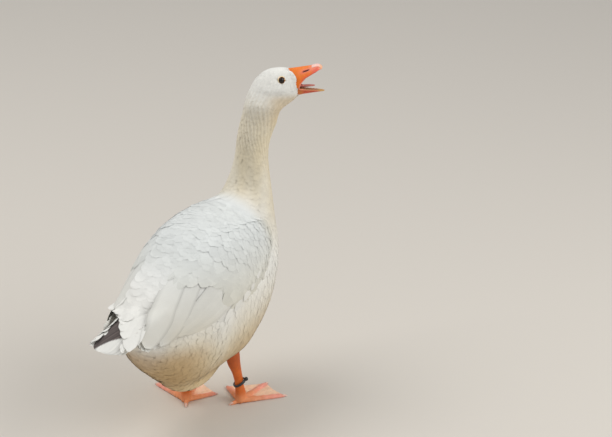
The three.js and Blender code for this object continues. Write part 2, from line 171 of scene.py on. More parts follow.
class Sheet:
    """A surface as a grid of points, read at any (row, column) between them."""

    def __init__(self, points, wrap, outward):
        self.points, self.wrap = points, wrap
        rows, columns = np.gradient(points, axis=0), np.gradient(points, axis=1)
        if wrap:
            columns = (np.roll(points, -1, 1) - np.roll(points, 1, 1)) / 2
        normals = unit(np.cross(rows, columns))
        self.normals = normals * np.sign(np.sum(normals * outward))
        self.lean = lambda row, column: np.full(np.shape(row), np.pi)

    def read(self, grid, row, column):
        """The grid between its points, and a little way past its edges in a straight line."""
        rows, columns = grid.shape[:2]
        r = np.clip(np.floor(row), 0, rows - 2).astype(int)
        column = column % columns if self.wrap else column
        c = np.floor(column) if self.wrap else np.clip(np.floor(column), 0, columns - 2)
        c = c.astype(int)
        u, v = (row - r)[..., None], (column - c)[..., None]
        c1 = (c + 1) % columns
        return ((grid[r, c] * (1 - v) + grid[r, c1] * v) * (1 - u)
                + (grid[r + 1, c] * (1 - v) + grid[r + 1, c1] * v) * u)

    def at(self, row, column, out=0.0):
        out = np.asarray(out, float)[..., None]
        return self.read(self.points, row, column) + out * self.normal(row, column)

    def normal(self, row, column):
        return unit(self.read(self.normals, row, column))

    def lie(self, row, column):
        """The way that feathers point: lean radians round from the way the rows run."""
        along, across = self.slopes(row, column)
        angle = self.lean(row, column)[..., None]
        return unit(along) * np.cos(angle) + unit(across) * np.sin(angle)

    def slopes(self, row, column, step=0.5):
        along = (self.at(row + step, column) - self.at(row - step, column)) / (2 * step)
        across = (self.at(row, column + step) - self.at(row, column - step)) / (2 * step)
        return along, across

    def grid_step(self, row, column, way):
        """The (row, column) change that moves a point by the vector way along the surface."""
        along, across = self.slopes(row, column)
        aa, ab, bb = dot(along, along), dot(along, across), dot(across, across)
        wa, wb = dot(way, along), dot(way, across)
        det = np.maximum(aa * bb - ab * ab, 1e-16)
        return ((wa * bb - wb * ab) / det)[..., 0], ((wb * aa - wa * ab) / det)[..., 0]


# ---------------- the body, measured
# Each section's frame, its top and its bottom (along, up), from the tail to the face.
SECTIONS = [
    (TRUNK, (-350, 283.5), (-350, 275)),
    (TRUNK, (-327, 294.5), (-327, 274)),
    (TRUNK, (-300, 307), (-297, 270)),
    (TRUNK, (-270, 321), (-266, 262)),
    (TRUNK, (-250, 328), (-252, 224)),
    (TRUNK, (-205, 360), (-218, 164)),
    (TRUNK, (-145, 399), (-160, 109)),
    (TRUNK, (-80, 433), (-94, 104)),
    (TRUNK, (-12, 449), (-14, 112)),
    (TRUNK, (48, 453), (77, 140)),
    (TRUNK, (88, 461), (136, 188)),
    (TRUNK, (107, 475), (166, 252)),
    (TRUNK, (115, 496), (176, 330)),
    (TRUNK, (118, 520), (184, 400)),
    (TRUNK, (119, 546), (186, 460)),
    (neck_place(6, 0), (-33, 572), (34, 522)),
    (neck_place(20, 3, 3), (-32, 598), (35, 562)),
    (neck_place(38, 9, 10), (-34, 623), (39, 600)),
    (HEAD, (-79, -58), (-3, -73)),
    (HEAD, (-70, -31), (13, -59)),
    (HEAD, (-56, -5), (25, -50)),
    (HEAD, (-34, 14.5), (31, -45)),
    (HEAD, (-10, 20.5), (35, -41)),
    (HEAD, (6, 20.2), (36, -39)),
    (HEAD, (16.5, 18.9), (36.8, -37.5)),
]
RUMP = 3                          # the section where the trunk begins, station 0 in what follows
ROWS_EACH = 12                    # rows of the grid for each section
COLUMNS = 180                     # columns round the body, from the middle of the back
SECTION_MIDDLE = 0.45             # of the way down a section


def solids_tree(names):
    """The CAD solids of these names as one tree for casting rays."""
    points, faces = [], []
    for name in names:
        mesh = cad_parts[name].data
        faces += [[index + len(points) for index in face.vertices] for face in mesh.polygons]
        points += [vertex.co.copy() for vertex in mesh.vertices]
    return BVHTree.FromPolygons(points, faces)


def inward_distance(tree, middle, way, reach):
    """How far from the middle the outermost surface lies, within reach."""
    hit = tree.ray_cast(Vector(middle + way * reach), Vector(-way), reach)[0]
    return np.nan if hit is None else float(np.dot(np.array(hit) - middle, way))


def fill_gaps(grid, most=0.004):
    """Takes out lone readings that fell between two solids."""
    spread = np.pad(grid, ((2, 2), (2, 2)), mode="wrap")
    near = [spread[i:i + grid.shape[0], j:j + grid.shape[1]] for i in range(5) for j in range(5)]
    typical = np.nanmedian(near, axis=0)
    return np.where(np.isnan(grid) | (np.abs(grid - typical) > most), typical, grid)


def measure_body(names):
    """A sheet round the solids of these names, by casting rays in from all round the body."""
    tree = solids_tree(names)
    t = np.linspace(0, len(SECTIONS) - 1, (len(SECTIONS) - 1) * ROWS_EACH + 1)
    top = catmull([place(x, 0, z) for place, (x, z), _ in SECTIONS], t)
    bottom = catmull([place(x, 0, z) for place, _, (x, z) in SECTIONS], t)
    side = unit(catmull([place.side for place, _, _ in SECTIONS], t))
    middle = top + (bottom - top) * SECTION_MIDDLE
    turn = turns(COLUMNS)
    far = np.empty((len(t), COLUMNS))
    ways = np.empty((len(t), COLUMNS, 3))
    for row in range(len(t)):
        reach = max(0.9 * np.linalg.norm(top[row] - bottom[row]), 0.08)
        wide = inward_distance(tree, middle[row], side[row], reach)
        narrow = inward_distance(tree, middle[row], -side[row], reach)
        half = np.nanmax([0.01, (wide + narrow) / 2])
        for column in range(COLUMNS):
            c, s = math.cos(turn[column]), math.sin(turn[column])
            high = (top if c > 0 else bottom)[row] - middle[row]
            way = unit(abs(c) * high + s * half * side[row])
            far[row, column] = inward_distance(tree, middle[row], way, reach)
            ways[row, column] = way
    far = fill_gaps(fill_gaps(far))
    far = blur(blur(far, 2.4, 1, True), 2.2, 0)
    points = middle[:, None] + ways * far[..., None]
    return Sheet(points, True, ways)


def station(number):
    """The body sheet's row at a station: 0 at the rump, 9 to 14 up the neck, 18 at the face."""
    return (np.asarray(number, float) + RUMP) * ROWS_EACH


def station_at(row):
    return row / ROWS_EACH - RUMP


def column_of(angle):
    return np.asarray(angle, float) / 360 * COLUMNS
body = measure_body(["trunk", "neck_lower", "neck_upper", "head", "tail", "eye_right", "eye_left"])

# Crests along the neck, between narrow furrows that run down it.
FURROWS = 26                      # round the neck
FURROW_DEPTH = 1.5 * MM
FURROW_SLANT = 0.9                # radians of a furrow's turn for each station


def mottle(points, size, seed):
    """Soft noise from about -1 to 1 with blots of about this size."""
    rng = np.random.default_rng(seed)
    waves = rng.normal(size=(10, 3)) * 2 * math.pi / (2.2 * size)
    phases = rng.uniform(0, 2 * math.pi, 10)
    return np.sin(points @ waves.T + phases).mean(-1) * 2


def furrow_grid(points):
    """How deep each point of the body's grid lies in a furrow, from 0 to 1."""
    rows, columns = np.indices(points.shape[:2])
    number = station_at(rows)
    phase = columns / COLUMNS * 2 * np.pi * FURROWS + FURROW_SLANT * number
    phase = phase + 1.4 * mottle(points, 0.03, 5)
    where = ramp(number, 9.6, 12) * (1 - ramp(number, 14.6, 18))
    return (1 - np.abs(np.sin(phase / 2))) ** 1.6 * where * (0.8 + 0.3 * mottle(points, 0.04, 6))


def face_relief(points):
    """The jaw's bulge under the eye and the hollow below it, outward in metres."""
    x, y, z = HEAD.inverse(points)
    along_jaw = ramp(x, -52, -24) * (1 - ramp(x, 4, 24)) * ramp(np.abs(y), 8, 16)
    bulge = 1.4 * bell(z, -25, 7) - 0.7 * bell(z, -37, 5.5)
    socket = bell(np.hypot(x, z + EYE_DROP), 0, 13) * ramp(np.abs(y), 8, 15)
    return (along_jaw * bulge - 1.2 * socket) * MM


# How far forward of a straight line the feathers' edge runs on to the bill: (up, along).
FEATHER_EDGE = [(-39, 1.5), (-33.4, 1.5), (-25, 2.4), (-12.9, 4.7), (-5, 6.5), (3.4, 7.7), (10, 5),
                (19, 0)]
EDGE_OVER = 0.6                   # millimetres that the edge stands off the bill
EDGE_ROWS = 8                     # rows redrawn, and as many more put in


def to_the_bill(points):
    """The grid with its last rows redrawn, and more, to carry the face down on to the bill."""
    tree = solids_tree(["upper_bill", "lower_bill"])
    last = points[-1]
    _, y, z = HEAD.inverse(last)
    reach = np.interp(z, *zip(*FEATHER_EDGE)) * ramp(np.abs(y), 2, 8)
    ahead = last + reach[:, None] * MM * HEAD.along
    found = [tree.find_nearest(Vector(point)) for point in ahead]
    edge = np.array([place + normal * EDGE_OVER * MM for place, normal, _, _ in found])
    edge = blur(edge[None], 1.5, 1, True)[0]
    start = len(points) - EDGE_ROWS
    first = points[start - 1]
    way = unit(points[start - 1] - points[start - 5])
    span = edge - first
    leave = way * np.linalg.norm(span, axis=-1, keepdims=True) * 1.1
    t = np.arange(1, 2 * EDGE_ROWS + 1)[:, None, None] / (2 * EDGE_ROWS)
    rows = first + span * (3 * t ** 2 - 2 * t ** 3) + leave * (t - 2 * t ** 2 + t ** 3) \
        + span * 0.9 * (t ** 3 - t ** 2)
    return np.concatenate([points[:start], rows])


def belly_tuck(points):
    """How far the belly is drawn in over the left foot, in metres."""
    rows, columns = np.indices(points.shape[:2])
    return 6 * MM * bell(station_at(rows), 3.1, 1.1) * bell(columns / COLUMNS * 360, 190, 24)


furrows = furrow_grid(body.points)
relief = face_relief(body.points) - furrows * FURROW_DEPTH - belly_tuck(body.points)
moved = body.points + body.normals * relief[..., None]
normals = np.concatenate([body.normals, np.repeat(body.normals[-1:], EDGE_ROWS, 0)])
body = Sheet(to_the_bill(moved), True, normals)
# how deep the furrows are, for the painted shade in them
body.tone = np.pad(furrows, ((0, EDGE_ROWS), (0, 0)))


# ---------------- markings
def srgb(red, green, blue):
    """Linear colour from 0 to 255 values."""
    values = np.array([red, green, blue]) / 255
    return np.where(values < 0.04045, values / 12.92, ((values + 0.055) / 1.055) ** 2.4)


WHITE = srgb(236, 235, 229)
# painted sky light on the top of the back
SKYLIT_WHITE = srgb(234, 237, 238)
# the stain colours below are partly real stain and partly painted shade and warm light bounced up from
# the ground
CREAM_STAIN_AND_SHADE = srgb(222, 210, 182)
TAN_STAIN_AND_SHADE = srgb(208, 178, 126)
PALE_TAN_STAIN_AND_BOUNCE = srgb(246, 222, 174)
DIRT_AND_SHADE = srgb(190, 152, 94)
# painted shade in the neck's furrows
FURROW_SHADE = srgb(186, 168, 134)
DARK = srgb(74, 64, 62)
# painted shade: the wings' feathers are darker than the body's, greyer high and creamier low on the
# wing, and the quills a little darker
WING_SHADE_HIGH = np.array([0.85, 0.855, 0.83])
WING_SHADE_LOW = np.array([0.82, 0.81, 0.755])
WING_QUILL_SHADE = np.array([0.89, 0.89, 0.875])
DARK_STREAK = srgb(122, 110, 104)


def mix(first, second, share):
    return first + (second - first) * np.asarray(share)[..., None]


def painted(colour, shape, *layers):
    """One colour over an array of this shape, with others mixed in by their shares in turn."""
    colour = np.broadcast_to(colour, (*shape, 3))
    for other, share in layers:
        colour = mix(colour, other, share)
    return colour


def tail_dark(forward, right):
    """1 on the dark part of the tail feathers' upper side, with its pale rims."""
    inner = ramp(forward - right + 331, 0, 2.5)
    outer = ramp(right + 50 + ramp(-forward, 300, 350) * 3, 0, 1.6)
    return inner * outer * ramp(-forward, 232, 246) * (1 - ramp(-forward, 357, 360))


def markings(points):
    """The plumage's colour at points of the model, with painted light in it: sky light on the back, and
    shade and warm light from the ground on the neck, jaw, flanks and belly, over real stains.
    """
    forward, right, high = TRUNK.inverse(points)
    ahead, _, up = HEAD.inverse(points)
    blots = mottle(points, 0.05, 1)
    # painted light: the top of the back is tinted cool, as if lit by the sky from above
    back = ramp(high, 330, 430) * ramp(high, 560, 480)
    # the neck's cream is partly a stain and partly painted shade: it comes lower in front, and lower on
    # the right, where the base of the neck faces away from the light
    level = high + 0.9 * (forward - 100) + 0.9 * np.clip(right - 60, 0, 50)
    neck = ramp(level, 345, 480) * (1 - ramp(high, 600, 690)) * ramp(forward, 50, 105)
    throat_shade = ramp(forward - right * 0.2, 135, 185)
    # painted shade: tan under the jaw, where the throat lies in shade below the cheek
    jaw = ramp(-up, 30, 48) * ramp(ahead, -45, 0) * ramp(high, 590, 620)
    # the stain and painted shade of flank and belly come less high on the thighs
    thigh = 34 * bell(forward, -100, 36) * ramp(np.abs(right), 50, 90)
    flank = 1 - ramp(high + thigh, 200, 345)
    flank = flank * (0.85 + 0.2 * blots) * (1 - ramp(-forward, 215, 245))
    # lower on the body: real stain with painted shade and painted warm ground bounce
    low = 1 - ramp(high + thigh + 12 * blots, 130, 268)
    under = 1 - ramp(high + 14 * blots, 78, 150)
    # under the tail: dirt with painted shade
    vent = ramp(-forward, 110, 200) * (1 - ramp(high, 205, 262))
    colour = painted(
        WHITE, high.shape,
        (SKYLIT_WHITE, back),
        (CREAM_STAIN_AND_SHADE, np.clip(neck * (0.82 + 0.3 * throat_shade + 0.2 * blots), 0, 1)),
        (TAN_STAIN_AND_SHADE, 0.5 * jaw),
        (CREAM_STAIN_AND_SHADE, np.clip(flank, 0, 1)),
        (TAN_STAIN_AND_SHADE, 0.9 * low),
        (PALE_TAN_STAIN_AND_BOUNCE, 0.8 * under),
        (DIRT_AND_SHADE, 0.6 * vent))
    return colour * (1 + 0.02 * mottle(points, 0.012, 2))[..., None]


def shaded_wing_colours(points):
    """The wing coverts' colour, with painted shade: greyer than the body's, and creamier low on the
    wing.
    """
    high = TRUNK.inverse(points)[2]
    return markings(points) * painted(WING_SHADE_HIGH, high.shape, (WING_SHADE_LOW, 1 - ramp(high, 290, 380)))


# painted shade: the quills a little darker than the markings
def shaded_quill_colours(points):
    return markings(points) * WING_QUILL_SHADE


def back_colours(points):
    """The loose feathers of the back, with the wings' painted shade only between them."""
    forward = TRUNK.inverse(points)[0]
    between = ramp(-forward, -110, -30) * (1 - ramp(-forward, 120, 220))
    return mix(markings(points), shaded_wing_colours(points), between)


# ---------------- meshes from arrays
def mesh_object(name, points, faces, uv=None, values=None, normals=None):
    """A mesh of quads from arrays. values are vectors for each point, by name."""
    if normals is not None:
        corners = points[faces]
        facing = np.cross(corners[:, 2] - corners[:, 0], corners[:, 3] - corners[:, 1])
        inward = (facing * normals[faces].sum(1)).sum(-1) < 0
        faces = np.where(inward[:, None], faces[:, ::-1], faces)
    mesh = bpy.data.meshes.new(name)
    mesh.vertices.add(len(points))
    mesh.vertices.foreach_set("co", np.ascontiguousarray(points, np.float32).ravel())
    mesh.loops.add(faces.size)
    mesh.loops.foreach_set("vertex_index", np.ascontiguousarray(faces, np.int32).ravel())
    mesh.polygons.add(len(faces))
    mesh.polygons.foreach_set("loop_start", np.arange(0, faces.size, 4, dtype=np.int32))
    mesh.polygons.foreach_set("use_smooth", np.ones(len(faces), bool))
    mesh.update(calc_edges=True)
    if uv is not None:
        layer = mesh.uv_layers.new(name="OFBake")
        layer.uv.foreach_set("vector", uv[faces.ravel()].astype(np.float32).ravel())
    for key, vectors in (values or {}).items():
        layer = mesh.attributes.new(key, "FLOAT_VECTOR", "POINT")
        layer.data.foreach_set("vector", vectors.astype(np.float32).ravel())
    if normals is not None:
        mesh.normals_split_custom_set_from_vertices(normals.astype(np.float32))
    return placed(name, mesh)


def placed(name, data):
    """A new object with this data, in the scene."""
    made = bpy.data.objects.new(name, data)
    bpy.context.scene.collection.objects.link(made)
    return made


def show(piece, material):
    """Makes the piece one of the model's, with its material."""
    piece.data.materials.append(material)
    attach(piece, "root")
    return piece


def grid_faces(rows, columns, wrap=False):
    """Quads of a grid of points."""
    last = columns if wrap else columns - 1
    row, column = np.meshgrid(np.arange(rows - 1), np.arange(last), indexing="ij")
    after = (column + 1) % columns
    quads = np.stack([row * columns + column, row * columns + after,
                      (row + 1) * columns + after, (row + 1) * columns + column], -1)
    return quads.reshape(-1, 4)


# ---------------- feathers
PATCH = 0.003                     # each feather's patch on the unwrap
EDGE_SHADOW_FROM = 0.68                  # of the half width, where a vane's painted edge shadow begins


def vane(u, base=0.4, full=0.6, tip=2.4, end=0.012):
    """A feather's outline: half width at u, from 0 at its root to 1 at its tip."""
    near = base + (1 - base) * np.sin(np.pi / 2 * np.minimum(u / full, 1)) ** 0.8
    far = np.sqrt(np.maximum(1 - np.maximum((u - full) / (1 - full), 0) ** tip, end))
    return near * far


class Feathers:
    """Vanes gathered into one piece of the coat."""

    def __init__(self, name, seed):
        self.name, self.parts, self.rng = name, [], np.random.default_rng(seed)

    def march(self, sheet, row, column, length, turn, bend, along):
        """Each feather's middle line, walked over the sheet from its root, in grid cells."""
        u = 1 - (1 - np.linspace(0, 1, along + 1)) ** 1.3
        q_row, q_column = row.astype(float), column.astype(float)
        normal = sheet.normal(q_row, q_column)
        lie = sheet.lie(q_row, q_column)
        lie = unit(lie - dot(lie, normal) * normal)
        way = lie * np.cos(turn)[:, None] + np.cross(normal, lie) * np.sin(turn)[:, None]
        rows, columns = [q_row], [q_column]
        for k in range(1, along + 1):
            step = (u[k] - u[k - 1]) * length
            swing = bend * (u[k] - u[k - 1])
            way = way * np.cos(swing)[:, None] + np.cross(normal, way) * np.sin(swing)[:, None]
            d_row, d_column = sheet.grid_step(q_row, q_column, way * step[:, None])
            q_row, q_column = q_row + d_row, q_column + d_column
            normal = sheet.normal(q_row, q_column)
            way = unit(way - dot(way, normal) * normal)
            rows.append(q_row)
            columns.append(q_column)
        return u, np.stack(rows, 1), np.stack(columns, 1)

    def lay(self, sheet, u, rows, columns, width, outline, height, cup, across, soft,
            colour=markings, rib=0.0, lively=0.03, edge=0.0):
        """Vanes along middle lines given in grid cells, one line to a row of the arrays."""
        n, stops = rows.shape
        flat = (rows.ravel(), columns.ravel())
        middle = sheet.read(sheet.points, *flat).reshape(n, stops, 3)
        normal = sheet.normal(*flat).reshape(n, stops, 3)
        way = unit(np.gradient(middle, axis=1))
        aside = np.cross(normal, way) * (width[:, None] / 2 * outline[None, :])[..., None]
        d_row, d_column = sheet.grid_step(*flat, aside.reshape(-1, 3))
        x = np.linspace(-1, 1, across + 1)
        at_row = flat[0][:, None] + d_row[:, None] * x
        at_column = flat[1][:, None] + d_column[:, None] * x
        smooth = sheet.normal(at_row, at_column).reshape(n, stops, across + 1, 3)
        out = height[..., None] - cup * x ** 2 * outline[:, None] + rib * (1 - np.abs(x)) ** 4
        points = sheet.read(sheet.points, at_row, at_column).reshape(smooth.shape)
        points = points + smooth * np.broadcast_to(out, smooth.shape[:3])[..., None]
        own = unit(np.cross(np.gradient(points, axis=1), np.gradient(points, axis=2)))
        own = own * np.sign((own * smooth).sum(-1, keepdims=True) + 1e-9)
        normals = unit(smooth * soft + own * (1 - soft))
        tint = colour(points.reshape(-1, 3)).reshape(points.shape)
        # painted shade in the neck's furrows
        if hasattr(sheet, "tone"):
            tone = sheet.read(sheet.tone[..., None], at_row, at_column).reshape(n, stops, -1)
            tint = mix(tint, FURROW_SHADE, np.clip(tone, 0, 1) * 0.5)
        # painted shade: a little darker at the covered root, a little lighter at the edges towards the
        # tip; edge paints a shadow along both edges of a vane, or a highlight where it is below 0
        shade = 1 + 0.03 * np.abs(x)[None, :] * u[:, None] - 0.05 * (1 - u)[:, None]
        shade = shade - edge * np.clip((np.abs(x) - EDGE_SHADOW_FROM) / (1 - EDGE_SHADOW_FROM), 0, 1) ** 1.5
        tint = tint * shade[None, :, :, None]
        tint = tint * (1 + lively * self.rng.standard_normal(n))[:, None, None, None]
        barbs = np.empty_like(points)
        length = np.linalg.norm(np.diff(middle, axis=1), axis=-1).sum(1)
        barbs[..., 0] = x * (width / 2)[:, None, None] * outline[:, None]
        barbs[..., 1] = u[:, None] * length[:, None, None]
        barbs[..., 2] = self.rng.uniform(0, 1, n)[:, None, None]
        u_grid, x_grid = np.meshgrid(u, x, indexing="ij")
        patch = np.stack([x_grid / 2, u_grid - 0.5], -1) * PATCH
        self.parts.append((points, normals, tint, barbs, rows[:, 0], columns[:, 0], patch))

    def strew(self, sheet, row, column, length, width, wander, sink, proud, cup, grid, soft,
              curl=0.0, shape=None, **more):
        """Feathers from roots on a sheet. Sizes are in metres, and turns in radians."""
        n, rng = len(row), self.rng
        length = length * (1 + 0.08 * rng.standard_normal(n))
        width = width * (1 + 0.06 * rng.standard_normal(n))
        turn = wander * rng.standard_normal(n)
        bend = 0.5 * wander * rng.standard_normal(n)
        u, rows, columns = self.march(sheet, row, column, length, turn, bend, grid[0])
        lift = proud * (1 + 0.35 * rng.standard_normal(n))
        height = (lift[:, None] * u ** 0.7 - sink * (1 - u) ** 2
                  + np.broadcast_to(curl, (n,))[:, None] * u ** 4)
        self.lay(sheet, u, rows, columns, width, vane(u, **(shape or {})), height, cup,
                 grid[1], soft, **more)

    def quills(self, sheet, guides, width, low, high, cup=0.0015, grid=(16, 6), soft=0.35,
               shape=None, **more):
        """Long feathers along guides, each a list of places on the sheet in millimetres."""
        u = np.linspace(0, 1, grid[0] + 1)
        lines = np.array([catmull(guide, u * (len(guide) - 1)) for guide in guides])
        rows, columns = sheet.cell(lines[..., 0], lines[..., 1])
        low, high, width = (np.broadcast_to(value, (len(guides),)) * MM
                            for value in (low, high, width))
        height = low[:, None] + (high - low)[:, None] * u
        outline = vane(u, **(shape or {"base": 0.55, "full": 0.72, "tip": 2.6}))
        self.lay(sheet, u, rows, columns, width, outline, height, cup, grid[1], soft, **more)

    def build(self):
        """Joins the feathers into one mesh, unwrapped by where their roots are."""
        rows = np.concatenate([part[4] for part in self.parts])
        columns = np.concatenate([part[5] for part in self.parts])
        low = np.array([columns.min(), rows.min()])
        size = np.array([np.ptp(columns), np.ptp(rows)]) + 1e-9
        stores, uv, faces, start = ([], [], [], []), [], [], 0
        for part in self.parts:
            n, along, across = part[0].shape[:3]
            starts = start + np.arange(n)[:, None, None] * along * across
            faces.append((grid_faces(along, across)[None] + starts).reshape(-1, 4))
            start += n * along * across
            root = 0.02 + 0.96 * (np.stack([part[5], part[4]], -1) - low) / size
            uv.append((root[:, None, None] + part[6]).reshape(-1, 2))
            for store, values in zip(stores, part[:4]):
                store.append(values.reshape(-1, 3))
        points, normals, tint, barbs = map(np.concatenate, stores)
        piece = mesh_object(self.name, points, np.concatenate(faces), np.concatenate(uv),
                            {"tint": tint, "barbs": barbs}, normals)
        show(piece, feathering)


def scatter(sheet, rng, rows, columns, along, across, keep=None):
    """Roots in staggered rows over part of a sheet. along and across are the spacing wanted,
    in metres, or functions of (row, column), and keep says which of them stay."""
    along, across = ((lambda r, c, value=value: np.full(len(c), float(value)))
                     if np.isscalar(value) else value for value in (along, across))
    placed, row = [], rows[0]
    column = np.arange(columns[0], columns[1], 0.5)
    while row < rows[1]:
        here = np.full(len(column), row)
        down, aside = (np.linalg.norm(slope, axis=-1) for slope in sheet.slopes(here, column))
        wanted = along(here, column)
        step = np.min(wanted / np.maximum(down, 1e-6))
        share = step * down / wanted
        total = np.cumsum(np.append(0, share * aside * 0.5 / across(here, column)))
        at = np.arange(rng.uniform(0, 1), total[-1], 1.0)
        at = np.clip(at + rng.uniform(-0.28, 0.28, len(at)), 0, total[-1])
        found = np.interp(at, total, np.append(column, columns[1]))
        jitter = rng.uniform(-0.4, 0.4, len(at)) * step / np.interp(found, column, share)
        placed.append(np.stack([row + jitter, found], -1))
        row += step
    placed = np.concatenate(placed)
    if keep is not None:
        placed = placed[keep(placed[:, 0], placed[:, 1])]
    return placed[:, 0], placed[:, 1]


# ---------------- the folded wings, measured
WING_TILT = math.radians(32)      # how far above the side the wing is measured from
WING_CELL = 4.0
WING_BACK = (-150, 330)           # behind the middle of the body
WING_DOWN = (-410, -110)          # down the slope of the wing


def spread_in(grid, known, rounds=700):
    """Fills the unknown cells with a smooth surface from the known ones."""
    filled = np.where(known, grid, grid[known].mean())
    for _ in range(rounds):
        around = np.pad(filled, 1, mode="reflect", reflect_type="odd")
        mean = (around[:-2, 1:-1] + around[2:, 1:-1] + around[1:-1, :-2] + around[1:-1, 2:]) / 4
        filled = np.where(known, grid, mean)
    return filled


def measure_wing():
    """The outside of the right wing as a grid: rows run back along it, and columns down it."""
    out = TRUNK.side * math.cos(WING_TILT) + TRUNK.rise * math.sin(WING_TILT)
    down = TRUNK.side * math.sin(WING_TILT) - TRUNK.rise * math.cos(WING_TILT)
    wing, trunk = solids_tree(["wing_right"]), solids_tree(["trunk"])
    backs = np.arange(*WING_BACK, WING_CELL)
    downs = np.arange(*WING_DOWN, WING_CELL)
    plane = TRUNK(-backs, 0 * backs, 0 * backs)[:, None] + downs[None, :, None] * MM * down
    height = np.full(plane.shape[:2], np.nan)
    on_wing = np.zeros(height.shape, bool)
    for row, back in enumerate(backs):
        for column in range(len(downs)):
            start = plane[row, column] + out
            hit = wing.ray_cast(Vector(start), Vector(-out), 2)
            on_wing[row, column] = hit[0] is not None
            if hit[0] is None and (back < 190 or downs[column] < -0.6 * back - 180):
                hit = trunk.ray_cast(Vector(start), Vector(-out), 2)
            if hit[0] is not None:
                height[row, column] = 1 - hit[3]
    height = spread_in(height, ~np.isnan(height))
    height = blur(blur(height, 1.8, 0), 1.8, 1)
    return plane + out * height[..., None], out, on_wing


wing_points, wing_out, on_wing = measure_wing()


def mirrored(points):
    """The same points on the goose's other side."""
    forward, right, high = TRUNK.inverse(points)
    return TRUNK(forward, -right, high)


def opposite(way):
    return way - 2 * np.dot(way, TRUNK.side) * TRUNK.side


wings = {"right": Sheet(wing_points, False, wing_out),
         "left": Sheet(mirrored(wing_points), False, opposite(wing_out))}


def wing_cell(back, down):
    """The wing sheet's (row, column) at a place given in millimetres."""
    return ((np.asarray(back, float) - WING_BACK[0]) / WING_CELL,
            (np.asarray(down, float) - WING_DOWN[0]) / WING_CELL)


def wing_place(row, column):
    return WING_BACK[0] + WING_CELL * row, WING_DOWN[0] + WING_CELL * column


def wing_lean(row, column):
    """How far feathers on a wing point down from straight back, in radians."""
    back, down = wing_place(row, column)
    low = ramp(down, -225, -175)
    angle = 14 + 22 * ramp(down, -340, -260) + 6 * ramp(back, 60, 200)
    return np.radians(angle * (1 - low) + (24 - 0.17 * back) * low)


for wing in wings.values():
    wing.lean, wing.cell = wing_lean, wing_cell


# ---------------- materials
BARB_STEP = 0.0011                # metres from barb to barb
BARB_SLANT = 0.8
STREAKS = 0.08                    # how far a vane's tint varies


def shader_of(made):
    return made.node_tree.nodes["Principled BSDF"]


def material(name, **values):
    """A Principled material with these uniform values on its sockets."""
    made = bpy.data.materials.new(name)
    made.use_nodes = True
    for key, value in values.items():
        shader_of(made).inputs[key.replace("_", " ")].default_value = value
    return made


def link(made, source, target):
    made.node_tree.links.new(source, target)


def feed(made, socket, value):
    """Links a socket to another one, or gives it a value of its own."""
    if isinstance(value, bpy.types.NodeSocket):
        link(made, value, socket)
    else:
        socket.default_value = value


def node(made, kind, operation=None, **inputs):
    """A node with these inputs, which are values or sockets."""
    new = made.node_tree.nodes.new(kind)
    if operation:
        new.operation = operation
    for key, value in inputs.items():
        feed(made, new.inputs[key], value)
    return new


def maths(made, operation, first, second=0.0):
    new = node(made, "ShaderNodeMath", operation)
    feed(made, new.inputs[0], first)
    feed(made, new.inputs[1], second)
    return new.outputs[0]


def noise(made, vector, scale, detail):
    return node(made, "ShaderNodeTexNoise", Vector=vector, Scale=scale, Detail=detail).outputs["Fac"]


def tint_socket(made, name="tint"):
    """What an attribute of the points says."""
    attribute = made.node_tree.nodes.new("ShaderNodeAttribute")
    attribute.attribute_name = name
    return attribute.outputs["Vector"]


def roughen(made, height, strength, distance):
    bumps = node(made, "ShaderNodeBump", Strength=strength, Distance=distance, Height=height)
    link(made, bumps.outputs[0], shader_of(made).inputs["Normal"])


def colour_by_tint(made, light):
    """Gives the surface each point's own tint, times light."""
    scaled = node(made, "ShaderNodeVectorMath", "SCALE", Scale=light)
    link(made, tint_socket(made), scaled.inputs[0])
    link(made, scaled.outputs[0], shader_of(made).inputs["Base Color"])


def plumage_material():
    """Feather vanes: each point's own tint, with barbs that run slantwise from the shaft."""
    made = material("feathers", Roughness=0.78, Sheen_Weight=0.15, Sheen_Roughness=0.6,
                    Specular_IOR_Level=0.25)
    parts = node(made, "ShaderNodeSeparateXYZ", Vector=tint_socket(made, "barbs"))
    across = maths(made, "ABSOLUTE", parts.outputs["X"])
    slant = maths(made, "SUBTRACT", parts.outputs["Y"], maths(made, "MULTIPLY", across, BARB_SLANT))
    wave = maths(made, "SINE", maths(made, "MULTIPLY", slant, 2 * math.pi / BARB_STEP))
    vector = node(made, "ShaderNodeCombineXYZ", X=slant, Y=parts.outputs["Z"])
    grain = noise(made, vector.outputs[0], 420.0, 2.0)
    roughen(made, maths(made, "ADD", maths(made, "MULTIPLY", wave, 0.4), grain), 0.22, 0.0004)
    light = maths(made, "ADD", maths(made, "MULTIPLY", grain, STREAKS), 1 - STREAKS / 2)
    colour_by_tint(made, light)
    return made


feathering = plumage_material()


# ---------------- skin
SKIN_FROM = -1.6                  # the station where it begins, in the tail
WING_COAT = 4.8                   # millimetres of feathers over a wing's flesh
FACE_END = srgb(120, 52, 40)      # where the skin closes, inside the bill
BODY_PATCH = 0.7                  # how much of the unwrap's width the body takes


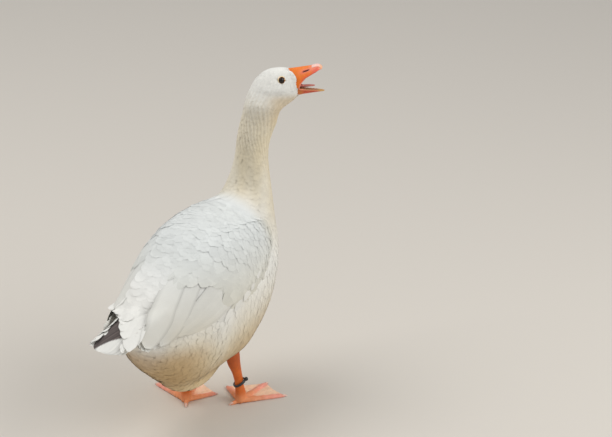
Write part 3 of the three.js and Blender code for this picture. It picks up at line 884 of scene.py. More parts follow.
def skin():
    """One skin of head, neck, trunk, tail and wings, under the coat."""
    rows = np.arange(station(SKIN_FROM), len(body.points))
    row, column = np.meshgrid(rows, np.arange(COLUMNS + 1), indexing="ij")
    number = station_at(row)
    depth = 6 - 2.5 * ramp(number, 7, 11) - 1.3 * ramp(number, 15, 18)
    depth = depth - 3.0 * (1 - ramp(number, -1.5, 0.5))
    points = capped(body.at(row, column, -depth * MM))
    one_ring = np.zeros_like(points[:1])
    normals = np.concatenate([one_ring - TRUNK.along, body.normal(row, column),
                              one_ring + HEAD.along])
    # painted shade in the neck's furrows
    tone = np.pad(body.read(body.tone[..., None], row, column)[..., 0], ((1, 1), (0, 0)))
    tint = mix(markings(points), FURROW_SHADE, np.clip(tone, 0, 1) * 0.5)
    tint[-1] = FACE_END
    v, u = np.meshgrid(np.linspace(0, 1, len(points)), np.linspace(0, 1, COLUMNS + 1), indexing="ij")
    uv = np.stack([u * BODY_PATCH, v], -1)
    faces = [grid_faces(len(points), COLUMNS + 1)]
    store = [[values.reshape(-1, values.shape[-1])] for values in (points, normals, tint, uv)]
    for side, sheet in wings.items():
        start = sum(len(values) for values in store[0])
        row, column = np.indices(on_wing.shape)
        under = sheet.points - sheet.normals * WING_COAT * MM
        quads = grid_faces(*on_wing.shape)
        faces.append(quads[on_wing.ravel()[quads].all(1)] + start)
        beside = 0.5 if side == "left" else 0.0
        patch = np.stack([0.72 + 0.26 * row / row.max(), beside + 0.48 * column / column.max()], -1)
        for values, part in zip(store, (under, sheet.normals, markings(under), patch)):
            values.append(part.reshape(-1, part.shape[-1]))
    points, normals, tint, uv = (np.concatenate(values) for values in store)
    faces = np.concatenate(faces)
    used, places = np.unique(faces, return_inverse=True)
    piece = mesh_object("skin", points[used], places.reshape(faces.shape), uv[used],
                        {"tint": tint[used], "barbs": 0 * tint[used]}, normals[used])
    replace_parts(piece, "head", "neck_upper", "neck_lower", "trunk", "wing_right", "wing_left",
                "tail")
    show(piece, feathering)


skin()


# ---------------- the coat
EYE_CLEARING = (10, 8.8)          # half the length and height of the bare patch round an eye


def eye_clear(row, column):
    """True where a root is clear of the eyes."""
    x, _, z = HEAD.inverse(body.read(body.points, row, column))
    return ((x - 2.5) / EYE_CLEARING[0]) ** 2 + ((z + EYE_DROP) / EYE_CLEARING[1]) ** 2 > 1


def coat(name, stations, spacing, length, width, seed, angles=(0, 360), keep=None, slot="plumage",
         **how):
    """A band of the body's coat between two stations. spacing (along, across), length and
    width are in millimetres at the band's two ends."""
    feathers = Feathers(name, seed)

    def between_ends(ends):
        return lambda row, column: np.interp(station_at(row), stations, ends) * MM

    along, across = zip(*spacing)
    row, column = scatter(body, feathers.rng, station(stations), column_of(angles),
                          between_ends(along), between_ends(across), keep)
    feathers.strew(body, row, column, between_ends(length)(row, column),
                   between_ends(width)(row, column), **how)
    feathers.build()


SHORT = {"base": 0.5, "full": 0.55, "tip": 2.2}
coat("face_feathers", (18.3, 21.66), [(2.6, 2.5), (1.8, 1.7)], (8, 4.4), (5.2, 3.0), 11,
     keep=eye_clear, sink=0.0012, proud=0.0003, cup=0.0002, grid=(3, 2), shape=SHORT, soft=0.6,
     wander=0.1)
coat("head_feathers", (14.4, 18.3), [(4.6, 4), (2.6, 2.5)], (14, 8), (8, 5.2), 12,
     sink=0.0015, proud=0.0004, cup=0.0003, grid=(4, 2), shape=SHORT, soft=0.6, wander=0.08)
coat("neck_feathers", (9.2, 14.4), [(7.5, 6), (4.6, 4)], (24, 14), (13, 8), 13,
     slot="neck_plumage", sink=0.002, proud=0.0006, cup=0.0004, grid=(4, 4), soft=0.5,
     wander=0.09)
coat("breast_feathers", (4.4, 9.2), [(11, 8.6), (7.5, 5.4)], (40, 24), (26, 13), 14,
     sink=0.0035, proud=0.0003, cup=0.0001, grid=(5, 4), soft=0.88, wander=0.06)
coat("belly_feathers", (-1.4, 4.4), [(7, 5.2), (9, 6.4)], (30, 36), (12, 17), 15,
     angles=(60, 300), sink=0.0035, proud=0.001, cup=0.0004, grid=(5, 4), soft=0.8, wander=0.14)


# ---------------- the wings' feathers
# Guides run from a feather's root to its tip: (back, down) on the wing's sheet.
PRIMARIES = [
    [(170, -236), (210, -220), (250, -206), (280, -198)],
    [(175, -246), (215, -230), (258, -215), (289, -203)],
    [(180, -258), (225, -242), (266, -226), (295, -210)],
]
SECONDARIES = [
    [(20, -228), (60, -204), (95, -189), (125, -181), (158, -182)],
    [(30, -236), (72, -212), (110, -196), (145, -187), (182, -187)],
    [(42, -246), (86, -222), (125, -205), (165, -194), (203, -192)],
    [(55, -257), (100, -233), (140, -214), (180, -202), (220, -197)],
    [(70, -270), (112, -246), (152, -225), (192, -210), (232, -200)],
]
TERTIALS = [
    [(128, -290), (160, -266), (190, -240), (218, -214), (246, -191)],
    [(120, -318), (160, -300), (200, -272), (236, -240), (264, -216), (282, -203)],
]

BROAD = {"base": 0.6, "full": 0.66, "tip": 2.3}
SQUARE = {"base": 0.85, "full": 0.72, "tip": 2.6}
SIZE_BACKS = (-110, 0, 100, 160)  # how far back along the wing the coverts' sizes are given


def wing_quills(side, sheet, seed):
    """A wing's flight feathers."""
    quills = Feathers("quills_" + side, seed)
    same = {"cup": 0.0006, "colour": shaded_quill_colours}
    # edge paints a shadow along the quills' edges, where they lie over each other
    quills.quills(sheet, PRIMARIES, 20, -4.6, -2.6, rib=0.0004, edge=0.14, **same)
    quills.quills(sheet, SECONDARIES, 36, -3.4, [-2.2, -1.7, -1.2, -0.7, -0.2], shape=SQUARE,
                  rib=0.0004, edge=0.1, **same)
    quills.quills(sheet, TERTIALS, [42, 50], [-2.8, -2.2], [1.2, 3.4], shape=BROAD, rib=0.0005,
                  edge=0.2, **same)
    quills.build()


def wing_coverts(side, sheet, seed):
    """The small feathers that cover a wing in front of its flight feathers."""
    coverts = Feathers("coverts_" + side, seed)

    def size(*sizes):
        return lambda row, column: np.interp(wing_place(row, column)[0], SIZE_BACKS, sizes) * MM

    def beyond(row, column):
        """How far a place is behind the line where the roots end, in millimetres."""
        back, down = wing_place(row, column)
        return back - 74 - 70 * ramp(down, -245, -330) + 30 * ramp(down, -225, -205)

    def keep(row, column):
        r, c = np.rint(row).astype(int), np.rint(column).astype(int)
        return on_wing[r, c] & (beyond(row, column) < 0)

    rows, _ = wing_cell((-140, 170), 0)
    row, column = scatter(sheet, coverts.rng, rows, (1, len(sheet.points[0]) - 2),
                          size(8, 11, 14, 15), size(7.5, 10, 13, 14), keep)
    dip = 0.8 + 2.8 * ramp(wing_place(row, column)[1], -295, -250)
    coverts.strew(sheet, row, column, size(24, 38, 54, 60)(row, column),
                  size(17, 25, 33, 36)(row, column), sink=0.0035, proud=0.0003, cup=0.0001,
                  curl=-dip * MM * ramp(beyond(row, column), -100, -30), grid=(6, 4), soft=0.9,
                  colour=shaded_wing_colours, shape={"base": 0.5, "full": 0.5, "tip": 1.6}, wander=0.06)
    coverts.build()


for seed, (side, sheet) in zip((30, 32), wings.items()):
    wing_quills(side, sheet, seed)
    wing_coverts(side, sheet, seed + 1)


# ---------------- the tail
TAIL_TOP = [(-205, 340), (-232, 333), (-262, 325), (-300, 307), (-330, 293), (-350, 283.5),
            (-366, 278)]
TAIL_DROOP = 0.0026               # of the square of the distance aside
TAIL_CELL = (3.0, 4.0)
TAIL_BACK = (210, 372)            # behind the middle of the body
TAIL_ASIDE = (-72, 73)


def tail_sheet():
    """The upper side of the spread tail: rows run back along it, and columns to the right."""
    backs = np.arange(*TAIL_BACK, TAIL_CELL[0])
    asides = np.arange(*TAIL_ASIDE, TAIL_CELL[1])
    x, z = zip(*TAIL_TOP)
    top = blur(np.interp(backs, -np.array(x), z)[:, None], 3, 0)
    back, aside = np.meshgrid(backs, asides, indexing="ij")
    made = Sheet(TRUNK(-back, aside, top - TAIL_DROOP * aside ** 2), False, TRUNK.rise)
    made.cell = lambda back, aside: ((back - TAIL_BACK[0]) / TAIL_CELL[0],
                                     (aside - TAIL_ASIDE[0]) / TAIL_CELL[1])
    return made


tail = tail_sheet()
RECTRICES = 16
# The covers over the tail's base: guides of (back, right), and how high each tip stands.
TAIL_COVERS = [
    [(214, -50), (240, -51), (262, -52)], [(214, -40), (241, -41), (266, -42)],
    [(214, -30), (243, -31), (270, -31)], [(214, -20), (244, -22), (272, -21)],
    [(215, -10), (246, -12), (280, -11)], [(215, 0), (250, -3), (288, -2)],
    [(202, 4), (254, 4), (302, 9)], [(206, 8), (262, 13), (314, 25)],
    [(215, 20), (268, 30), (322, 50)], [(212, 10), (274, 22), (331, 52)],
]
COVER_TIPS = [3.0, 2.5, 2.0, 1.2, 1.2, 1.2, 1.4, 1.6, -1.5, 1.6]


def rectrix(spread, shift=0.0):
    """The guide of a tail feather: spread is -1 at the left of the fan and 1 at its right."""
    root, tip = np.array([228, 8 * spread + 3]), np.array([358 - 15 * spread ** 2,
                                                            33 * spread - 2 + shift])
    middle = (root + tip) / 2 + np.array([0, 3.5 * spread])
    return [root, middle, tip]


def dark_vane(points):
    """The markings, with the tail's dark part streaked along its feathers."""
    forward, right, _ = TRUNK.inverse(points)
    across = (right - 0.6 * forward) * MM * 0.8
    streak = mottle(np.stack([0 * across, across, 0 * across], -1), 0.004, 8)
    colour = painted(DARK, right.shape, (DARK_STREAK, np.clip(0.3 + 0.5 * streak, 0, 1)))
    return mix(markings(points), colour, tail_dark(forward, right))


def tail_feathers():
    fan = Feathers("tail_feathers", 50)
    spreads = np.linspace(-1, 1, RECTRICES)
    outer_first = sorted(spreads, key=lambda spread: -abs(spread))
    layers = np.linspace(-9, -1, RECTRICES)
    shape = {"base": 0.5, "full": 0.7, "tip": 2.8}
    fan.quills(tail, [rectrix(-1, -1), rectrix(1, 2.5)], 33, -10, -10, shape=shape)
    fan.quills(tail, [rectrix(spread) for spread in outer_first], 32, layers - 1, layers, grid=(30, 14),
               shape=shape, rib=0.0006, cup=0.0012, colour=dark_vane, lively=0.06)
    # edge paints a faint shadow along the covers' edges
    fan.quills(tail, TAIL_COVERS, 36, -3, COVER_TIPS, grid=(12, 6), cup=0.0014, shape=BROAD,
               rib=0.0003, edge=0.06)
    fan.build()


tail_feathers()


# ---------------- closed forms
def closed_form(rings):
    """Points and quads of a form through rings of points, its ends drawn in to their middles."""
    rings = capped(np.asarray(rings, float))
    return rings.reshape(-1, 3), grid_faces(*rings.shape[:2], wrap=True)


def welded(piece):
    """The piece with its doubled points joined and its faces turned outward."""
    bm = bmesh.new()
    bm.from_mesh(piece.data)
    bmesh.ops.remove_doubles(bm, verts=bm.verts, dist=1e-7)
    bmesh.ops.recalc_face_normals(bm, faces=bm.faces)
    bm.to_mesh(piece.data)
    bm.free()
    return piece


def loft_object(name, rings, hide, colours):
    """A closed form through rings of points. colours are one for each point, or one for all."""
    colours = np.broadcast_to(colours, rings.shape)
    tint = np.concatenate([colours[:1], colours, colours[-1:]]).reshape(-1, 3)
    return show(welded(mesh_object(name, *closed_form(rings), None, {"tint": tint})), hide)


def fleshy(name, roughness, scale, bump, coat=0.0):
    """A smooth hide that takes each point's tint, with soft blotches and fine grain."""
    made = material(name, Roughness=roughness, Coat_Weight=coat, Coat_Roughness=0.25,
                    Subsurface_Weight=0.12, Subsurface_Scale=0.004,
                    Subsurface_Radius=(1.0, 0.45, 0.25))
    place = made.node_tree.nodes.new("ShaderNodeTexCoord").outputs["Object"]
    blots = noise(made, place, scale / 6, 3.0)
    grain = noise(made, place, scale, 4.0)
    height = maths(made, "ADD", grain, maths(made, "MULTIPLY", blots, 2.0))
    roughen(made, height, bump, 0.0006)
    colour_by_tint(made, maths(made, "ADD", maths(made, "MULTIPLY", blots, 0.36), 0.82))
    return made


# ---------------- the bill
BILL_ORANGE = srgb(238, 122, 18)
BILL_RED = srgb(226, 92, 62)
BILL_PINK = srgb(238, 140, 116)
BILL_CORAL = srgb(236, 104, 92)
NAIL = srgb(240, 200, 190)
NAIL_TIP = srgb(240, 176, 128)
# painted shade inside the nostril's shallow hollow
NOSTRIL_SHADE = srgb(88, 20, 16)
MOUTH = srgb(170, 88, 66)
LOWER_RED = srgb(206, 84, 50)
LOWER_PINK = srgb(224, 142, 102)
LOWER_BROWN = srgb(204, 122, 52)
OLIVE = srgb(138, 108, 60)
HORN_TIP = srgb(212, 164, 96)
TONGUE_PINK = srgb(206, 124, 112)
GAPE_PINK = srgb(236, 138, 108)

# Sections of the bill in the head's frame: top and bottom (along, up), and half the width.
UPPER_BILL = [
    ((6, 15), (30, -22.5), 12.0), ((16.9, 18.7), (36.7, -21.8), 13.6),
    ((25, 19.6), (40.4, -11.5), 13.8), ((35, 21), (46, -4.5), 13.4),
    ((46, 22.6), (55, 1.5), 12.4), ((58, 24.3), (65, 7.4), 11.2), ((67, 26), (72, 11.6), 10.6),
    ((75, 27.7), (77, 14.8), 9.4), ((82, 25.6), (81.5, 16.4), 6.8), ((86, 21.6), (84.5, 17.6), 3),
]
LOWER_BILL = [
    ((28, -22.5), (28, -37.5), 10.5), ((37.2, -22.8), (38.6, -37.6), 11.4),
    ((48, -24), (49, -35.6), 11), ((62, -25.4), (63, -33.4), 10.2), ((76, -26.6), (76.5, -31.4), 8.6),
    ((86, -27), (86, -30.4), 5.6), ((90.5, -27.8), (90.5, -29.4), 2.2),
]
TONGUE = [
    ((34, -17), (35, -22.5), 5.5), ((42.4, -15.4), (42.8, -21.8), 5.8), ((48, -16), (48.6, -21.6), 6.4),
    ((58, -15.6), (58.6, -20.4), 5.8), ((67, -16), (67.4, -19.4), 3.6),
    ((70.4, -17), (70.4, -18.6), 1.4),
]
NAIL_FROM = 62.0                  # along the head
PALATE_FROM = 0.7                 # of the way round from the ridge: the upper cutting edge
TROUGH_TO = 0.42                  # of the way round from the trough: the lower cutting edge
TROUGH_DEPTH = 0.42               # of the lower bill's depth
TOOTH_STEP = 2.3                  # millimetres from tooth to tooth
TOOTH_HEIGHT = 0.8
FRINGE_STEP = 2.6                 # of the tongue's edges
# The fold at the mouth's corner: (along, up) down its line, and how far aside.
GAPE_LINE = [(50, -2.6), (44, -8), (39.6, -14.5), (37, -20), (36.6, -23.2), (39, -25.2), (44, -25.6),
             (50, -25.6)]
GAPE_ASIDE = [12.4, 12.9, 13.0, 12.4, 11.9, 11.6, 11.3, 10.9]


def sections_at(sections, count):
    t = np.linspace(0, len(sections) - 1, count)
    top, bottom, half = (catmull(values, t)[:, None] for values in zip(*sections))
    return top, bottom, half


def around_from_top(sides):
    """The side of each angle round a section, and its way round: 0 at the top, 1 below."""
    turn = turns(sides)
    return np.sign(np.sin(turn)), np.abs((turn + np.pi) % (2 * np.pi) - np.pi) / np.pi


def teeth(x, around, edge, width, first, last):
    """The fine teeth of a cutting edge, which begin and end over these places along it."""
    where = bell(around, edge, width) * ramp(x, *first) * (1 - ramp(x, *last))
    return TOOTH_HEIGHT * where * np.sin(x * 2 * np.pi / TOOTH_STEP) ** 2


def upper_bill_rings(count=110, sides=72):
    """Down each side from the ridge to the cutting edge, and back over a hollow palate."""
    top, bottom, half = sections_at(UPPER_BILL, count)
    side, around = around_from_top(sides)
    outside = around < PALATE_FROM
    down = np.where(outside, around / PALATE_FROM, 1.0)     # of the section's depth
    inner = np.clip((around - PALATE_FROM) / (1 - PALATE_FROM), 0, 1)
    wide = np.where(outside, np.sin(np.pi / 2 * np.minimum(down * 1.08, 1)) ** 0.85, 1 - inner)
    y = half * wide * side * np.where(outside, 0.84 + 0.16 * down, 1)
    palate = np.where(outside, 0, np.sin(np.pi / 2 * np.minimum(inner * 1.5, 1))) * 4.2
    x = top[..., 0] + (bottom - top)[..., 0] * down
    z = top[..., 1] + (bottom - top)[..., 1] * down + palate * np.clip(half / 13, 0.2, 1)
    return x, y, z, np.broadcast_to(around, x.shape)


def bill_tint(x, y, around, hole):
    """The upper bill's colours, at places in the head's frame."""
    horny = around < PALATE_FROM
    nail = ramp(x, NAIL_FROM, NAIL_FROM + 4) * (1 - ramp(np.abs(y), 4.6, 6.4))
    return painted(
        BILL_ORANGE, x.shape,
        (BILL_RED, 0.75 * ramp(around, 0.46, 0.68) * ramp(x, 30, 50)),
        (BILL_PINK, 0.8 * bell(x, 52, 13) * bell(around, 0.3, 0.13)),
        (BILL_PINK, 0.55 * ramp(x, 52, 66) * (1 - ramp(around, 0.4, 0.6))),
        (BILL_CORAL, 0.7 * ramp(x, 60, 70) * ramp(around, 0.2, 0.4)),
        (NAIL, 0.92 * nail * horny),
        (NAIL_TIP, 0.8 * ramp(x, 77, 83) * horny),
        (BILL_CORAL, 0.6 * bell(x, 51, 9.5, 4) * bell(around, 0.31, 0.08)),
        # painted shade in the nostril's hollow
        (NOSTRIL_SHADE, np.clip(hole * 1.5, 0, 1)),
        (MOUTH, ramp(around, 0.71, 0.76)))


def upper_bill():
    """The upper bill, with its nail, its open nostrils, its lip and its teeth."""
    x, y, z, around = upper_bill_rings()
    hole = bell(x, 51.5, 6.6, 4) * bell(around, 0.31, 0.046, 4)
    rim = bell(x, 51.5, 9.5, 4) * bell(around, 0.3, 0.085, 4)
    nail = ramp(x, NAIL_FROM, NAIL_FROM + 2.5) * (1 - ramp(np.abs(y), 5.6, 6.6))
    nail_edge = np.hypot(np.maximum(NAIL_FROM + 7 - x, 0) * 0.9, y)
    groove = bell(nail_edge, 6.6, 0.8) * ramp(x, NAIL_FROM - 3, NAIL_FROM)
    lip = bell(around, 0.66, 0.035) * ramp(x, 34, 44)
    out = 0.45 * nail * (around < PALATE_FROM) - 0.35 * groove - 2.2 * hole + 0.55 * rim + 0.5 * lip
    points = HEAD(x, y, z - teeth(x, around, PALATE_FROM, 0.02, (36, 42), (72, 78)))
    sheet = Sheet(points, True, points - points.mean(1, keepdims=True))
    rings = points + sheet.normals * out[..., None] * MM
    piece = loft_object("upper_mandible", rings, bill_hide, bill_tint(x, y, around, hole))
    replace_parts(piece, "upper_bill")


def lower_bill():
    """The lower bill: a shallow trough with a raised rim, whose edge is toothed."""
    top, bottom, half = sections_at(LOWER_BILL, 90)
    side, around = around_from_top(64)
    inside = around < TROUGH_TO
    under = np.pi / 2 * np.maximum(around - TROUGH_TO, 0) / (1 - TROUGH_TO)
    wide = np.where(inside, around / TROUGH_TO, np.maximum(np.cos(under), 0) ** 0.6)
    trough = np.maximum(np.cos(np.pi / 2 * around / TROUGH_TO), 0) ** 1.5
    high = np.where(inside, -TROUGH_DEPTH * trough, -np.sin(under) ** 1.2)
    x = np.broadcast_to(top[..., 0], (len(top), len(around)))
    around = np.broadcast_to(around, x.shape)
    z = top[..., 1] + (top - bottom)[..., 1] * high \
        + teeth(x, around, TROUGH_TO, 0.03, (40, 46), (78, 84))
    colours = painted(
        LOWER_PINK, x.shape,
        (LOWER_RED, ramp(around, 0.52, 0.6)),
        (LOWER_BROWN, 0.8 * (1 - ramp(x, 40, 50))),
        (OLIVE, (1 - ramp(around, 0.3, TROUGH_TO)) * 0.9),
        (OLIVE, bell(around, 0.45, 0.05) * 0.7 * (1 - ramp(x, 56, 70))),
        (HORN_TIP, ramp(x, 72, 84)))
    rings = HEAD(x, half * wide * side, z)
    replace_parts(loft_object("lower_mandible", rings, bill_hide, colours), "lower_bill")


def tongue():
    """The tongue: thick and fleshy, with a groove down it and a fringe along its edges."""
    top, bottom, half = sections_at(TONGUE, 60)
    turn = turns(40)
    around = around_from_top(40)[1]
    middle, reach = (top + bottom) / 2, (top - bottom) / 2
    fringe = np.abs(np.sin(turn)) ** 6 * np.sin(middle[..., 0] * 2 * np.pi / FRINGE_STEP)
    x = middle[..., 0] + reach[..., 0] * np.cos(turn)
    y = half * np.sin(turn) * (1 + 0.12 * fringe)
    z = middle[..., 1] + reach[..., 1] * np.cos(turn) - 0.9 * bell(around, 0, 0.35 / np.pi)
    piece = loft_object("tongue_flesh", HEAD(x, y, z), wet_flesh, TONGUE_PINK)
    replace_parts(piece, "tongue")


def gape(name, side):
    """The soft fold at a corner of the mouth, from one cutting edge to the other."""
    t = np.linspace(0, len(GAPE_LINE) - 1, 40)
    line = catmull(GAPE_LINE, t)
    points = HEAD(line[:, 0], side * catmull(GAPE_ASIDE, t), line[:, 1])
    way = unit(np.gradient(points, axis=0))
    first = unit(np.cross(way, HEAD.side))
    second = np.cross(way, first)
    turn = turns(16)[None, :, None]
    radius = (1.5 * np.sin(np.pi * (0.06 + 0.88 * t / t[-1])) ** 0.8 * MM)[:, None, None]
    rings = points[:, None] + radius * (np.cos(turn) * first[:, None] + np.sin(turn) * second[:, None])
    loft_object(name, rings, wet_flesh, GAPE_PINK)


bill_hide = fleshy("bill_hide", 0.42, 900, 0.25, coat=0.15)
wet_flesh = fleshy("wet_flesh", 0.3, 1200, 0.3, coat=0.4)
upper_bill()
lower_bill()
tongue()
gape("gape_right", 1)
gape("gape_left", -1)


# ---------------- the eyes
EYEBALL = 7.6                     # radius, millimetres
EYE_OPENING = (5.6, 6.3)          # half the opening's length and height
LID_WIDTH = 3.0
LID_WRINKLES = 17                 # round the eye
LID_DARK = srgb(112, 66, 38)
LID_BROWN = srgb(206, 124, 58)
LID_PALE = srgb(236, 216, 178)
IRIS = srgb(44, 24, 14)
PUPIL = srgb(6, 6, 8)

# Brown iris and black pupil under a clear wet coat.
eye_glass = material("eye", Roughness=0.2, Coat_Weight=0.3, Coat_Roughness=0.04,
                     Specular_IOR_Level=0.3)
link(eye_glass, tint_socket(eye_glass), shader_of(eye_glass).inputs["Base Color"])


def eye(side_name, side):
    """An eyeball that looks outward, a little forward and up, and its lids."""
    look_out = unit(HEAD.side * side + 0.14 * HEAD.along + 0.05 * HEAD.rise)
    first = unit(np.cross(HEAD.rise, look_out))
    second = np.cross(look_out, first)
    centre = HEAD(0, (EYE_ASIDE + 0.6) * side, -EYE_DROP)
    polar = np.linspace(0, np.pi * 0.75, 40)[:, None, None]
    turn = turns(48)[None, :, None]
    cornea = 1 + 0.06 * (1 - ramp(polar, 0, 0.62))
    points = centre + EYEBALL * MM * cornea * (np.cos(polar) * look_out + np.sin(polar)
                                               * (np.cos(turn) * first + np.sin(turn) * second))
    from_front = polar[..., 0]
    colours = painted(PUPIL, points.shape[:2], (IRIS, ramp(from_front, 0.36, 0.42)),
                      (PUPIL * 1.5, ramp(from_front, 0.66, 0.74)))
    ball = loft_object("eyeball_" + side_name, points, eye_glass, colours)
    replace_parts(ball, "eye_" + side_name)
    lids(side_name, centre, look_out, first, second)


def lids(side_name, centre, look_out, first, second):
    """The bare rim round the eye: it lies on the ball and rolls out on to the face."""
    turn = turns(72)[None, :]
    across = np.linspace(0, 1, 12)[:, None]
    wrinkle = 0.12 * np.sin(turn * LID_WRINKLES + 3 * np.sin(turn * 3)) * np.sin(np.pi * across)
    a = (EYE_OPENING[0] + LID_WIDTH * across) * np.cos(turn) * (1 + 0.05 * (np.cos(turn) > 0))
    b = (EYE_OPENING[1] + LID_WIDTH * across * 0.85) * np.sin(turn)
    rim = np.sqrt(EYEBALL ** 2 - (EYE_OPENING[0] * np.cos(turn)) ** 2
                  - (EYE_OPENING[1] * np.sin(turn)) ** 2)
    out = rim + 0.2 + 1.1 * np.sin(np.pi * np.minimum(across * 1.2, 1)) ** 0.8 - 1.6 * across ** 2
    out = np.where(across < 0.02, rim - 0.8, out) + wrinkle
    points = centre + MM * (a[..., None] * first + b[..., None] * second + out[..., None] * look_out)
    ahead = np.sign(np.dot(first, HEAD.along)) * np.cos(turn) + np.sin(turn)
    colours = painted(LID_DARK, a.shape, (LID_BROWN, ramp(ahead, -0.9, 0.6)),
                      (LID_PALE, ramp(across, 0.22, 0.5)))
    sheet = Sheet(points, True, np.broadcast_to(look_out, points.shape))
    piece = mesh_object("eyelids_" + side_name, points.reshape(-1, 3),
                        grid_faces(*points.shape[:2], wrap=True), None,
                        {"tint": colours.reshape(-1, 3)}, sheet.normals.reshape(-1, 3))
    show(piece, bill_hide)


eye("right", 1)
eye("left", -1)


# ---------------- legs and feet
# painted shade: darker at the top of the leg, under the belly
LEG_TOP_SHADE = srgb(174, 78, 24)
LEG_ORANGE = srgb(212, 102, 28)
FOOT_ORANGE = srgb(232, 148, 98)
TOE_PINK = srgb(244, 162, 142)
WEB_PINK = srgb(255, 210, 178)
CLAW = srgb(226, 188, 172)
FOOT_TOP = 26                     # where the leg's hide ends and the foot's begins
SKIN_CELL = 0.0009                # metres, of the even skin over a leg's forms

# For each foot: its side, its ankle forward and right of the middle, its heading to the
# right, its hind toe's turn, and its toes from outer to inner: length, turn, height, joints.
FEET = {
    "right": (1, (30, 55), 0, -160, [
        (104, 40, 8.6, (0.3, 0.5, 0.68, 0.84)), (100, 0, 9.2, (0.36, 0.62, 0.82)),
        (74, -62, 8.2, (0.45, 0.78))]),
    "left": (-1, (-36, -43), -22, 165, [
        (103, -58, 10.5, (0.3, 0.5, 0.68, 0.84)), (100, 0, 9.2, (0.36, 0.62, 0.82)),
        (74, 52, 8.2, (0.45, 0.78))]),
}
# A toe's half width, and its height as a share of its joints', along its length.
TOE_STATIONS = (-0.1, 0.1, 0.35, 0.6, 0.82, 0.92, 1)
TOE_HALF_WIDTHS = (7.8, 7.4, 6.0, 5.2, 4.4, 3.2, 1.6)
TOE_HEIGHTS = (1.6, 1.45, 1.05, 0.88, 0.8, 0.62, 0.3)
WEB_REACH = 0.93                  # of a toe's length
WEB_THICKNESS = 1.6
# Sections of the shank: how far out from the ankle, front, back, height and half width.
SHANK = np.array([
    (0, 17, -12, 5, 11.5), (0, 16, -12, 16, 10.6), (-1, 14, -11, 28, 9.4), (-3, 12.6, -10, 40, 8.2),
    (-4, 12, -11, 54, 8), (-5, 8, -17, 76, 8.8), (-6, 4, -29, 102, 11.8),
    (-6, 2, -33, 122, 12.6), (-6, -2, -30, 146, 10)], float)


def toe_form(place, length, height, joints, start=-0.08, end=0.95, girth=1.15):
    """A toe along its place's heading, swollen at its joints and flat below."""
    share = np.linspace(start, end, 40)[:, None]
    swell = 1 + 0.12 * sum(bell(share, joint, 0.04) for joint in joints)
    half = girth * swell * np.interp(share, TOE_STATIONS, TOE_HALF_WIDTHS)
    tall = height * swell * np.interp(share, TOE_STATIONS, TOE_HEIGHTS)
    angle = turns(24)
    widest = 0.32 * tall
    up = np.sin(angle)
    z = np.where(up > 0, widest + (tall - widest) * up, widest * (1 - np.abs(up) ** 0.6))
    return closed_form(place(length * share, half * np.cos(angle), z))


def web_form(place, first, second):
    """The web between two toes, arched a little, with folds that run out from the ankle."""
    (long_a, turn_a), (long_b, turn_b) = ((toe[0] * WEB_REACH, math.radians(toe[1]))
                                          for toe in (first, second))
    s = np.linspace(0, 1, 41)
    t = np.linspace(0.06, 1, 46)[:, None]
    turn = turn_a + (turn_b - turn_a) * s
    chord = (long_a * long_b * math.sin(turn_b - turn_a)
             / (long_a * np.sin(turn - turn_a) + long_b * np.sin(turn_b - turn)))
    reach = chord * (1 - 0.06 * np.sin(math.pi * s) ** 0.8)
    x, y = t * reach * np.cos(turn), t * reach * np.sin(turn)
    top = (3.3 + 1.5 * np.sin(math.pi * s) * t ** 2 + 0.4 * np.sin(7 * math.pi * s + 0.6) * t
           + 0.3 * np.sin(15 * t + 4 * s))
    under = np.maximum(top - WEB_THICKNESS, 0.15)
    ring = np.stack([np.concatenate([a, b[:, ::-1]], 1) for a, b in ((x, x), (y, y), (top, under))])
    return closed_form(place(*ring))


def shank_form(place, side):
    """The leg from the foot up into the belly's feathers."""
    at = np.linspace(0, len(SHANK) - 1, 60)
    out, front, back, high, half = catmull(SHANK, at).T[..., None]
    angle = turns(32)
    x = (front + back) / 2 + (front - back) / 2 * np.cos(angle)
    y = side * out + half * np.sin(angle) * (1 - 0.12 * np.cos(angle))
    return closed_form(place(x, y, high + 0 * x))


def claw_form(place, length, start, high, half):
    """A claw from start to length along its place's heading, drooping to its point."""
    share = np.linspace(0, 1, 14)[:, None]
    angle = turns(16)
    radius = half * (1 - share ** 1.8) ** 0.5 + 0.15
    z = high * (1 - 0.75 * share ** 1.6) + radius * 0.85 * np.sin(angle)
    return closed_form(place(start + (length - start) * share, radius * np.cos(angle),
                             np.maximum(z, 0.1)))


def joined(forms):
    """The points and faces of several forms as one."""
    points, faces = zip(*forms)
    starts = np.cumsum([0] + [len(some) for some in points])
    return np.concatenate(points), np.concatenate([some + at for some, at in zip(faces, starts)])


def remeshed(name, forms, size, smoothing):
    """Points, normals and quads of one even skin over forms that overlap."""
    rough = welded(mesh_object(name, *joined(forms)))
    remesh = rough.modifiers.new("even", "REMESH")
    remesh.mode = "VOXEL"
    remesh.voxel_size = size
    smooth = rough.modifiers.new("smooth", "SMOOTH")
    smooth.factor = 0.5
    smooth.iterations = smoothing
    found = rough.evaluated_get(bpy.context.evaluated_depsgraph_get()).to_mesh()
    points, normals = np.empty((2, len(found.vertices), 3))
    found.vertices.foreach_get("co", points.ravel())
    found.vertex_normals.foreach_get("vector", normals.ravel())
    faces = np.array([tuple(face.vertices) for face in found.polygons if len(face.vertices) == 4])
    bpy.data.objects.remove(rough)
    return points, normals, faces


SCUTE_STEP = 0.0016               # half a scute, in metres


